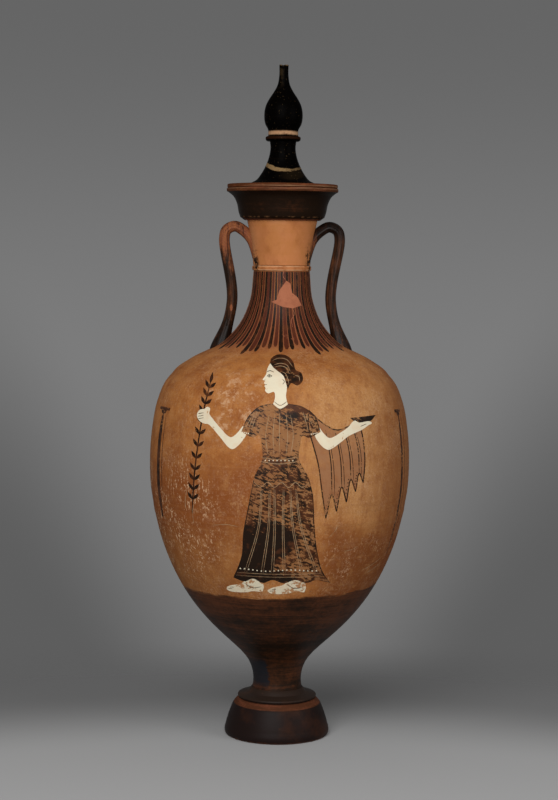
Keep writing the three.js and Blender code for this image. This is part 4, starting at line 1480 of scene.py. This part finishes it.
def skin_lines():
    """Lines of a calm profile and of the hands and feet, on the cream paint."""
    rear = [(width, np.array(points) + (REAR_FOOT_STEP, 0)) for width, points in FOOT_LINES]
    return strokes([*FACE_LINES, *HAND_LINES, *FOOT_LINES, *rear]) + [dot(EYE, EYE_RADIUS)]


def hem_dots():
    """Cream dots along the hem, belt and sleeves of the robe."""
    dots = []
    for across in hand_row(*HEM_DOTS):
        level = HEM_DOT_LEVEL + HEM_DOT_WAVE * math.sin(HEM_DOT_RATE * across)
        dots.append(dot((across, level), HEM_DOT))
    dots += [dot((across, BELT_HEIGHT - BELT_DOT_DROP), BELT_DOT) for across in hand_row(*BELT_DOTS)]
    for side in (-1, 1):
        for across, level in zip(hand_row(*SLEEVE_DOTS), hand_row(*SLEEVE_DOT_LEVELS)):
            dots.append(dot((side * across, level), BELT_DOT))
    return dots


# Operators


class JAR_OT_foot(bpy.types.Operator):
    """Throw the foot and the fillet above it"""

    bl_idname = "jar.foot"
    bl_label = "Foot"

    # Turn, half width in turn and share of the full depth of each nick in the lower edge
    NICKS = ((0.55, 0.03, 0.9), (0.62, 0.014, 0.6), (-1.9, 0.045, 1.0), (2.6, 0.03, 0.8))
    # Where the nicks lie, in from the side and up from the floor, and how far they reach
    NICK_INSET = 3 * MM
    NICK_HEIGHT = 1 * MM
    NICK_REACH = 4 * MM
    # Height over which the top of the fillet flows into the stem
    FLOW = 5 * MM

    def execute(self, context):
        finish = foot_finish()
        inset = FOOT_RADIUS - self.NICK_INSET
        worn = nicked(inset, self.NICK_HEIGHT, self.NICK_REACH, self.NICKS)
        turned_piece("foot", [finish], JAR, worn)
        turned_piece("foot_fillet", [finish], JAR, self.flowing_top)
        return {"FINISHED"}

    def flowing_top(self, turn, radius, height):
        """Shapes the fillet: a faint wobble, and an upper edge that flows into the thrown stem."""
        radius, height = evenly_thrown(turn, radius, height)
        near = np.clip((height - STEM_TOP + self.FLOW) / self.FLOW, 0, 1) ** 2
        return radius - near * hand_work(turn, STEM_TOP), height


class JAR_OT_body(bpy.types.Operator):
    """Throw the three sections of the body on one common wall"""

    bl_idname = "jar.body"
    bl_label = "Body"

    # Steps inside the body are longer than those on its wall by this ratio.
    INNER_STEP = 3

    def execute(self, context):
        finishes = [body_finish(), inside_finish()]
        for node, low, high, slot in BODY_SECTIONS:
            self.section(context.scene.jar_shape, node, low, high, finishes, slot)
        return {"FINISHED"}

    def section(self, shape, node, low, high, finishes, slot):
        """One section: the common wall between two heights, and the solid's own outline for the rest."""
        outline, ring = solid_outline(node)
        heights = np.linspace(low, high, max(2, math.ceil((high - low) / shape.step)) + 1)
        outer = np.column_stack([wall_radius(heights), heights])
        first, last = (
            min(range(len(outline)), key=lambda k: np.linalg.norm(outline[k] - end))
            for end in (outer[0], outer[-1])
        )
        step = self.INNER_STEP * shape.step
        if ring:
            rest = np.roll(outline, -last, axis=0)[: (first - last) % len(outline) + 1]
            rest = eased_outline(rest, False, step, shape.corner)[1:-1]
            line = np.vstack([outer, rest])
            inside_from = len(outer)
        else:
            rest = eased_outline(outline[last:], False, step, shape.corner)[1:]
            line = np.vstack([outline[:first], outer, rest])
            inside_from = len(outer) + first

        def shaped(turn, radius, height):
            between = (height > low - TINY) & (height < high + TINY)
            on_outside = between & np.isclose(radius, wall_radius(height), atol=TINY)
            return radius - np.where(on_outside, hand_work(turn, height), 0), height

        mesh = turned_mesh("thrown_" + node, line, ring, shape.around, shaped, inside_from)
        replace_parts(piece("thrown_" + node, mesh, finishes, JAR), node)


class JAR_OT_neck(bpy.types.Operator):
    """Throw the neck and the clay roll at its foot"""

    bl_idname = "jar.neck"
    bl_label = "Neck"

    def execute(self, context):
        finish = neck_finish()
        turned_piece("neck_ring", [finish], JAR)
        turned_piece("neck", [finish], JAR)
        return {"FINISHED"}


class JAR_OT_mouth(bpy.types.Operator):
    """Throw the mouth with its worn lip"""

    bl_idname = "jar.mouth"
    bl_label = "Mouth"

    # How far below the rim the nicks lie, and how far they reach
    NICK_DROP = 3 * MM
    NICK_REACH = 3 * MM
    # Turn, half width in turn and share of the full depth of each nick in the lip
    NICKS = (
        (-0.9, 0.02, 0.8),
        (0.2, 0.012, 0.5),
        (0.8, 0.03, 0.7),
        (2.2, 0.03, 1.0),
        (-2.5, 0.02, 0.8),
    )

    def execute(self, context):
        worn = nicked(LIP_RADIUS, RIM - self.NICK_DROP, self.NICK_REACH, self.NICKS)
        turned_piece("mouth", [mouth_finish()], JAR, worn)
        return {"FINISHED"}


class JAR_OT_handles(bpy.types.Operator):
    """Pull the two handles and bed their ends in the neck and the shoulder"""

    bl_idname = "jar.handles"
    bl_label = "Handles"

    # Places on the middle line, in millimetres from the axis and above the neck's foot
    TAIL = (33.2, 8.0)
    LEG = (44.8, 41.5)
    ARCH_CENTRE = (70.0, 45.5)
    ARCH_RADIUS = 15.5
    ARCH_TURNS = (140, 90, 40, -10)
    WAIST = (73.0, -47.0)
    ROOT_RADIUS = 92.0
    ROOT_BURY = 14.0
    # Share of the middle line at which the strap starts to spread, and how uneven its width is
    FLARE_START = 0.74
    UNEVEN = 0.012
    UNEVEN_RATE = 23
    # Grooves on the broad sides, as shares of the strap's half depth: middle one, then the two beside it
    GROOVE_WIDTH = 0.17
    SIDE_GROOVE_PLACE = 0.55
    SIDE_GROOVE_WIDTH = 0.13
    SIDE_GROOVE_DEPTH = 0.45
    GROOVE_FADE = 0.7
    # The power that squares the oval, and the share of the half width that stays without grooves
    SQUARENESS = 0.92
    PLAIN_EDGE = 0.3
    # Radii at the neck's foot and top that part its outside from its inside, and the roll's reach above it
    NECK_MIDDLE = (0.040, 0.049)
    ROLL_REACH = 8 * MM
    NECK_STEP = 2 * MM
    # Steps between two places on the middle line, along the strap and round it
    FINE_STEPS = 60
    STEPS = 150
    SIDES = 44

    def execute(self, context):
        shape = context.scene.jar_shape
        finish = handle_finish()
        corners, faces = self.strap(shape)
        for node, side in (("handle_right", 1), ("handle_left", -1)):
            name = "pulled_" + node
            mesh = bpy.data.meshes.new(name)
            mesh.from_pydata((corners * (side, side, 1)).tolist(), [], faces)
            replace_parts(piece(name, mesh, [finish], JAR), node)
        return {"FINISHED"}

    def middle_line(self):
        """The handle's middle line as radius and height, in even steps, with its directions."""
        turns = np.radians(self.ARCH_TURNS)
        arch = self.ARCH_CENTRE + self.ARCH_RADIUS * np.column_stack([np.cos(turns), np.sin(turns)])
        # The upper third of the wall, from the neck down
        falling = WALL[::-1][: len(WALL) // 3]
        shoulder = np.interp(self.ROOT_RADIUS * MM, falling[:, 0], falling[:, 1])
        root = (self.ROOT_RADIUS, (shoulder - NECK_FOOT) / MM - self.ROOT_BURY)
        points = np.array([self.TAIL, self.LEG, *arch, self.WAIST, root]) * MM + (0, NECK_FOOT)
        line = smooth_line(points, self.FINE_STEPS)
        run = np.concatenate([[0], np.cumsum(np.linalg.norm(np.diff(line, axis=0), axis=1))])
        along = np.linspace(0, 1, self.STEPS + 1)
        line = np.column_stack([np.interp(along * run[-1], run, line[:, k]) for k in range(2)])
        return along, line, directions(line)

    def strap(self, shape):
        """Corners and faces of the right handle: an oval strap with grooves along its broad sides."""
        along, line, way = self.middle_line()
        spread = np.clip((along - self.FLARE_START) / (1 - self.FLARE_START), 0, 1)
        flare = (spread * spread * (3 - 2 * spread)) ** 2
        depth = shape.handle_depth + (shape.root_depth - shape.handle_depth) * flare
        width = shape.handle_width + (shape.root_width - shape.handle_width) * flare
        width = width * (1 - self.UNEVEN * (1 + np.sin(self.UNEVEN_RATE * along)))
        turns = turns_round(self.SIDES)
        out, across = np.cos(turns), np.sin(turns)
        beside = (np.abs(out) - self.SIDE_GROOVE_PLACE) / self.SIDE_GROOVE_WIDTH
        groove = np.exp(-((out / self.GROOVE_WIDTH) ** 2)) + self.SIDE_GROOVE_DEPTH * np.exp(-(beside**2))
        across = np.sign(across) * np.abs(across) ** self.SQUARENESS
        fade = shape.handle_groove * (1 - self.GROOVE_FADE * flare)
        plain = 0.5 * width[:, None] * across
        grooved = plain - np.sign(across) * groove * fade[:, None]
        half = np.where(np.abs(across) < self.PLAIN_EDGE, plain, grooved)
        reach = 0.5 * depth[:, None] * out
        radius = line[:, :1] - way[:, 1:] * reach
        height = line[:, 1:] + way[:, :1] * reach
        rings = np.stack([radius, half, height], axis=-1).reshape(-1, 3)
        corners = np.vstack([rings, [line[0][0], 0, line[0][1]], [line[-1][0], 0, line[-1][1]]])
        return self.bedded(corners, shape.handle_sink), self.strap_faces()

    def strap_faces(self):
        """Faces between the rings of the strap, and those that close its two ends."""
        sides, steps = self.SIDES, self.STEPS
        tail, root, last = (steps + 1) * sides, (steps + 1) * sides + 1, steps * sides
        faces = []
        for k in range(steps):
            for j in range(sides):
                low, after = k * sides + j, k * sides + (j + 1) % sides
                faces.append([low, low + sides, after + sides, after])
        for j in range(sides):
            after = (j + 1) % sides
            faces.append([tail, j, after])
            faces.append([root, last + after, last + j])
        return faces

    def bedded(self, corners, sink):
        """The corners that lie deep inside the wall drawn out to one depth below it."""
        outline, ring = solid_outline("neck")
        neck = eased_outline(outline, ring, self.NECK_STEP, 0.0)
        outside = neck[:, 0] > np.interp(neck[:, 1], [NECK_FOOT, MOUTH_FOOT], self.NECK_MIDDLE)
        neck = neck[outside & (neck[:, 1] > RING_FOOT + self.ROLL_REACH)]
        side = np.vstack([WALL, neck[np.argsort(neck[:, 1])]])
        way = directions(side)
        outward = np.column_stack([way[:, 1], -way[:, 0]])
        radius = np.hypot(corners[:, 0], corners[:, 1])
        places = np.column_stack([radius, corners[:, 2]])
        nearest = np.argmin(np.linalg.norm(places[:, None] - side[None], axis=2), axis=1)
        depth = -np.sum((places - side[nearest]) * outward[nearest], axis=1)
        along = np.sum((places - side[nearest]) * way[nearest], axis=1)
        moved = side[nearest] + along[:, None] * way[nearest] - sink * outward[nearest]
        settled = np.where((depth > sink)[:, None], moved, places)
        spread = settled[:, 0] / np.maximum(radius, TINY)
        return np.column_stack([corners[:, 0] * spread, corners[:, 1] * spread, settled[:, 1]])


class JAR_OT_lid(bpy.types.Operator):
    """Throw the lid's plate, flange, stem, collar and knob"""

    bl_idname = "jar.lid"
    bl_label = "Lid"

    # How far below the plate's top the nicks lie, and how far they reach
    NICK_DROP = 3 * MM
    NICK_REACH = 3 * MM
    # Turn, half width in turn and share of the full depth of each nick in the plate's edge
    NICKS = ((-1.0, 0.03, 0.8), (0.35, 0.015, 0.5), (1.25, 0.05, 1.0), (2.9, 0.03, 0.8))
    # The knob's broken tip: its reach down, its notch, the slope and turn of the break and its teeth
    TIP_REACH = 9 * MM
    NOTCH_TURN = -0.35
    NOTCH_HALF = 0.30
    NOTCH_DEPTH = 2.2 * MM
    BREAK_SLOPE = 0.3 * MM
    BREAK_TURN = 1.0
    TOOTH_DEPTH = 0.25 * MM
    TEETH = 9

    def execute(self, context):
        finish = lid_finish()
        worn = nicked(LID_RADIUS, LID_TOP - self.NICK_DROP, self.NICK_REACH, self.NICKS)
        turned_piece("lid_plate", [finish], LID, worn)
        turned_piece("lid_flange", [inside_finish()], LID)
        turned_piece("lid_stem", [finish], LID)
        turned_piece("lid_collar", [finish], LID)
        turned_piece("lid_knob", [finish], LID, self.broken_tip)
        return {"FINISHED"}

    def broken_tip(self, turn, radius, height):
        """Shapes the knob: a faint wobble, and an open tip that is broken unevenly, with one notch."""
        radius, height = evenly_thrown(turn, radius, height)
        top = np.clip((height - (KNOB_TIP - self.TIP_REACH)) / self.TIP_REACH, 0, 1)
        notch = self.NOTCH_DEPTH * np.exp(-((turn_gap(turn, self.NOTCH_TURN) / self.NOTCH_HALF) ** 2))
        slope = self.BREAK_SLOPE * wave(2 * turn + self.BREAK_TURN)
        teeth = self.TOOTH_DEPTH * wave(self.TEETH * turn)
        return radius, height - top * (notch + slope + teeth)


class JAR_OT_tongues(bpy.types.Operator):
    """Paint the tongues below the neck and lay the mended patch in their middle"""

    bl_idname = "jar.tongues"
    bl_label = "Tongues"

    # Millimetres across and above the floor, as the front shows them
    PATCH = (
        (-15, 650), (-7, 653), (-3, 667), (7, 681), (13, 677),
        (16, 663), (24, 657), (30, 645), (17, 641), (2, 643),
    )
    CRACKS = (
        [(7, 680.5), (2, 688), (3, 696), (-1, 703)],
        [(17, 641.5), (19, 632), (15, 624), (17, 614)],
    )
    CRACK_WIDTH = 0.6
    # How far the patch stands out, in thicknesses of slip
    PATCH_LIFT = 2.0
    # Offset and breadth as shares of the spacing, and the height of the lower ends
    DARK = (0.0, 0.42, 581)
    RED = (0.5, 0.46, 585)
    # How firmly the paint of the tongues held
    DARK_FIRM = 0.09
    RED_FIRM = 0.06

    def execute(self, context):
        colours = context.scene.jar_colours
        lift = context.scene.jar_shape.slip_lift
        dark = slip_finish("painted_tongues", self.DARK_FIRM)
        red = paint_finish("painted_red_tongues", self.RED_FIRM, colours.maroon, colours.slip_brown)
        dark_shapes = tongue_shapes(*self.DARK)
        red_shapes = tongue_shapes(*self.RED)
        painted_piece("painted_tongues", dark_shapes, [], lift, unrolled, dark)
        painted_piece("painted_red_tongues", red_shapes, [], lift, unrolled, red)
        cracks = [stroke(line, self.CRACK_WIDTH) for line in above_floor(self.CRACKS)]
        mends = above_floor([self.PATCH]) + cracks
        lift = self.PATCH_LIFT * lift
        painted_piece("mended_patch", mends, [], lift, seen_from_front, fill_finish())
        return {"FINISHED"}


class JAR_OT_scratches(bpy.types.Operator):
    """Scratch the belly where it has been knocked and rubbed"""

    bl_idname = "jar.scratches"
    bl_label = "Scratches"

    # Millimetres across and above the floor, as the front shows them
    LINES = (
        [(71, 323), (77, 329), (85, 340)],
        [(121, 267), (136, 273), (150, 281)],
        [(127, 261), (139, 266), (149, 272)],
        [(-94, 337), (-75, 340), (-58, 338)],
        [(-120, 372), (-123, 352), (-121, 335)],
        [(-131, 388), (-134, 368), (-133, 356)],
        [(92, 300), (104, 302), (113, 306)],
    )
    WIDTH = 0.6
    # How far they stand out, in thicknesses of slip
    LIFT = 0.3

    def execute(self, context):
        lines = [stroke(line, self.WIDTH) for line in above_floor(self.LINES)]
        lift = self.LIFT * context.scene.jar_shape.slip_lift
        painted_piece("scratched_lines", lines, [], lift, seen_from_front, incised_finish())
        return {"FINISHED"}


class JAR_OT_columns(bpy.types.Operator):
    """Paint the slender columns at the sides of the picture"""

    bl_idname = "jar.columns"
    bl_label = "Columns"

    # Turn, heights of foot and top in millimetres, and breadth
    LEFT = (math.radians(-65.4), 337, 489, 1.0)
    RIGHT = (math.radians(67.6), 285, 489, 0.6)
    # How firmly their paint held
    FIRM = -0.04

    def execute(self, context):
        shapes = column_shapes(*self.LEFT) + column_shapes(*self.RIGHT)
        lift = context.scene.jar_shape.slip_lift
        dark = slip_finish("painted_columns", self.FIRM)
        painted_piece("painted_columns", shapes, [], lift, unrolled, dark)
        return {"FINISHED"}


class JAR_OT_figure(bpy.types.Operator):
    """Paint the draped figure: wash, slip with incised lines, cream and the lines on the cream"""

    bl_idname = "jar.figure"
    bl_label = "Figure"

    # How firmly the slip of the robe and of the lines held
    ROBE_FIRM = 0.0
    LINES_FIRM = 0.06
    # How far the layers of paint stand out, in thicknesses of slip, the last above the cream
    WASH_LIFT = 0.6
    LINES_LIFT = 1.1
    EDGES_LIFT = 1.5
    INCISED_LIFT = 0.3
    DOTS_LIFT = 1.6
    FEATURES_LIFT = 0.5
    EDGES_TAPER = 0.5

    def execute(self, context):
        shape = context.scene.jar_shape
        slip, cream = shape.slip_lift, shape.cream_lift
        dark = slip_finish("painted_slip", self.ROBE_FIRM)
        drawn = slip_finish("painted_lines", self.LINES_FIRM)
        parts = (ROBE, HAIR, CLOAK, FACE, LEFT_ARM, RIGHT_ARM, FOOT, BOWL)
        outlines = [smooth_line(part, closed=True) for part in parts]
        robe, hair, cloak, face, left_arm, right_arm, foot, bowl = outlines
        skin = [face, left_arm, right_arm, foot, foot + (REAR_FOOT_STEP, 0)]
        incised = robe_folds() + strokes(HAIR_WAVES)
        lines = [bowl, *branch_shapes(), *cloak_lines()]
        edges = strokes(ROBE_EDGES, self.EDGES_TAPER)
        front = seen_from_front
        scratched = incised_finish()
        above_cream = cream + self.FEATURES_LIFT * slip
        painted_piece("painted_cloak", [cloak], [], self.WASH_LIFT * slip, front, wash_finish())
        painted_piece("painted_robe", [robe, hair], incised, slip, front, dark)
        painted_piece("painted_lines", lines, [], self.LINES_LIFT * slip, front, drawn)
        painted_piece("painted_contours", edges, [], self.EDGES_LIFT * slip, front, drawn)
        painted_piece("incised_lines", incised, [], self.INCISED_LIFT * slip, front, scratched)
        painted_piece("painted_skin", skin, [hair, robe], cream, front, cream_finish())
        painted_piece("painted_dots", hem_dots(), [], self.DOTS_LIFT * slip, front, cream_finish())
        painted_piece("painted_features", skin_lines(), [], above_cream, front, drawn)
        return {"FINISHED"}


class JAR_OT_stage(bpy.types.Operator):
    """Set up the floor, the backdrop, the lamps and the camera"""

    bl_idname = "jar.stage"
    bl_label = "Stage"

    # The floor's reach, and how far from its shading's middle it darkens and ends
    FLOOR_REACH = 4.0
    FLOOR_SIDES = 64
    FLOOR_CENTRE = -1.0
    FLOOR_SHADE = (0.92, 1.26)
    FLOOR_END = (1.18, 1.70)
    # Least share and play of the floor's grain, its roughness and reflection
    FLOOR_GRAIN = 0.04
    FLOOR_ROUGH = 0.9
    FLOOR_SHEEN = 0.1
    # Steps of the backdrop's tone upwards, and how its lower part sinks to the sides
    BACKDROP_LOW = (-0.33, -0.17)
    BACKDROP_HIGH = (-0.065, 0.130)
    BACKDROP_SIDE = (0.0, 0.17)
    BACKDROP_SINK = 0.18
    # Sizes and places of the lamps, and what they are aimed at
    KEY_SIZE = 2.2
    KEY_PLACE = (-0.5, -2.5, 1.75)
    SIDE_SIZE = 1.4
    SIDE_PLACE = (2.0, -1.3, 1.3)
    LAMP_AIM = (0, 0, 0.5)
    SENSOR = 36.0

    def execute(self, context):
        stage = context.scene.jar_stage
        context.scene.view_settings.view_transform = "Standard"
        self.floor(stage)
        self.world(context.scene, stage)
        self.lamp("key_lamp", stage.key, self.KEY_SIZE, self.KEY_PLACE)
        self.lamp("side_lamp", stage.side, self.SIDE_SIZE, self.SIDE_PLACE)
        self.camera(context.scene, stage)
        return {"FINISHED"}

    def floor(self, stage):
        """A pale floor that darkens behind the jar and ends softly in the backdrop."""
        mesh = bpy.data.meshes.new("floor")
        turns = turns_round(self.FLOOR_SIDES)
        rim = np.column_stack([np.cos(turns), np.sin(turns), 0 * turns]) * self.FLOOR_REACH
        mesh.from_pydata(rim.tolist(), [], [list(range(self.FLOOR_SIDES))])
        look = Finish("pale_floor")
        grain = look.noise(260, 3, 0.5)
        back = look.y - self.FLOOR_CENTRE
        away = (look.x * look.x + back * back) ** 0.5
        tone = look.layers(
            stage.floor,
            (self.FLOOR_GRAIN * (1 + grain), stage.floor_grain),
            (away.rise(*self.FLOOR_SHADE), stage.floor_far),
        )
        sockets = {"Base Color": tone, "Roughness": self.FLOOR_ROUGH}
        sockets["Specular IOR Level"] = self.FLOOR_SHEEN
        paint = look.node("ShaderNodeBsdfPrincipled", {}, sockets)
        clear = look.node("ShaderNodeBsdfTransparent", {}, {})
        ended = look.node("ShaderNodeMixShader", {}, {0: away.rise(*self.FLOOR_END), 1: paint, 2: clear})
        look.node("ShaderNodeOutputMaterial", {}, {"Surface": ended})
        mesh.materials.append(look.material)
        floor = bpy.data.objects.new("floor", mesh)
        bpy.context.scene.collection.objects.link(floor)

    def world(self, scene, stage):
        """Even light from all round, and a plain backdrop that the camera and reflections see."""
        world = bpy.data.worlds.new("studio")
        world.use_nodes = True
        nodes = Nodes(world.node_tree)
        place = nodes.node("ShaderNodeTexCoord", {}, {}, "Generated")
        across, _, up = nodes.parts(place)
        sink = self.BACKDROP_SINK * ((across * across) ** 0.5).rise(*self.BACKDROP_SIDE)
        tone = nodes.layers(
            stage.backdrop_low,
            ((up - sink).rise(*self.BACKDROP_LOW), stage.backdrop_mid),
            (up.rise(*self.BACKDROP_HIGH), stage.backdrop_high),
        )
        seen = nodes.node("ShaderNodeBackground", {}, {"Color": tone})
        even = nodes.node("ShaderNodeBackground", {}, {"Color": (1, 1, 1, 1), "Strength": stage.ambient})
        rays = ("Is Camera Ray", "Is Glossy Ray", "Is Transmission Ray")
        eye, gloss, glass = (nodes.node("ShaderNodeLightPath", {}, {}, ray) for ray in rays)
        both = nodes.node("ShaderNodeMixShader", {}, {0: eye + gloss + glass, 1: even, 2: seen})
        nodes.node("ShaderNodeOutputWorld", {}, {0: both})
        scene.world = world

    def lamp(self, name, power, size, place):
        """A large square soft lamp aimed at the middle of the jar."""
        light = bpy.data.lights.new(name, "AREA")
        light.energy = power
        light.size = size
        made = bpy.data.objects.new(name, light)
        made.location = place
        aim = Vector(self.LAMP_AIM) - Vector(place)
        made.rotation_euler = aim.to_track_quat("-Z", "Y").to_euler()
        bpy.context.scene.collection.objects.link(made)

    def camera(self, scene, stage):
        """The camera in front of the jar, looking slightly down."""
        data = bpy.data.cameras.new("camera")
        data.lens = stage.lens
        data.sensor_width = self.SENSOR
        data.sensor_fit = "AUTO"
        made = bpy.data.objects.new("camera", data)
        facing = Matrix.Rotation(math.pi / 2 - stage.pitch, 4, "X") @ Matrix.Rotation(stage.roll, 4, "Z")
        made.matrix_world = Matrix.Translation((-stage.offset, -stage.distance, stage.height)) @ facing
        scene.collection.objects.link(made)
        scene.camera = made


class JAR_PT_panel(bpy.types.Panel):
    """Lists the jar's operators and settings"""

    bl_idname = "JAR_PT_panel"
    bl_label = "Painted lidded jar"
    bl_space_type = "VIEW_3D"
    bl_region_type = "UI"
    bl_category = "Jar"

    def draw(self, context):
        for operator in OPERATORS:
            self.layout.operator(operator.bl_idname)
        for settings in (context.scene.jar_shape, context.scene.jar_colours, context.scene.jar_stage):
            box = self.layout.box()
            for key in settings.__annotations__:
                box.prop(settings, key)


SETTINGS = (JarShape, JarColours, JarStage)
OPERATORS = (
    JAR_OT_stage,
    JAR_OT_foot,
    JAR_OT_body,
    JAR_OT_neck,
    JAR_OT_mouth,
    JAR_OT_handles,
    JAR_OT_lid,
    JAR_OT_tongues,
    JAR_OT_scratches,
    JAR_OT_columns,
    JAR_OT_figure,
)


def register():
    for kind in (*SETTINGS, *OPERATORS, JAR_PT_panel):
        bpy.utils.register_class(kind)
    bpy.types.Scene.jar_shape = PointerProperty(type=JarShape)
    bpy.types.Scene.jar_colours = PointerProperty(type=JarColours)
    bpy.types.Scene.jar_stage = PointerProperty(type=JarStage)


def unregister():
    del bpy.types.Scene.jar_stage
    del bpy.types.Scene.jar_colours
    del bpy.types.Scene.jar_shape
    for kind in reversed((*SETTINGS, *OPERATORS, JAR_PT_panel)):
        bpy.utils.unregister_class(kind)


def main():
    register()
    for operator in OPERATORS:
        group, name = operator.bl_idname.split(".")
        getattr(getattr(bpy.ops, group), name)()


if __name__ == "__main__":
    main()
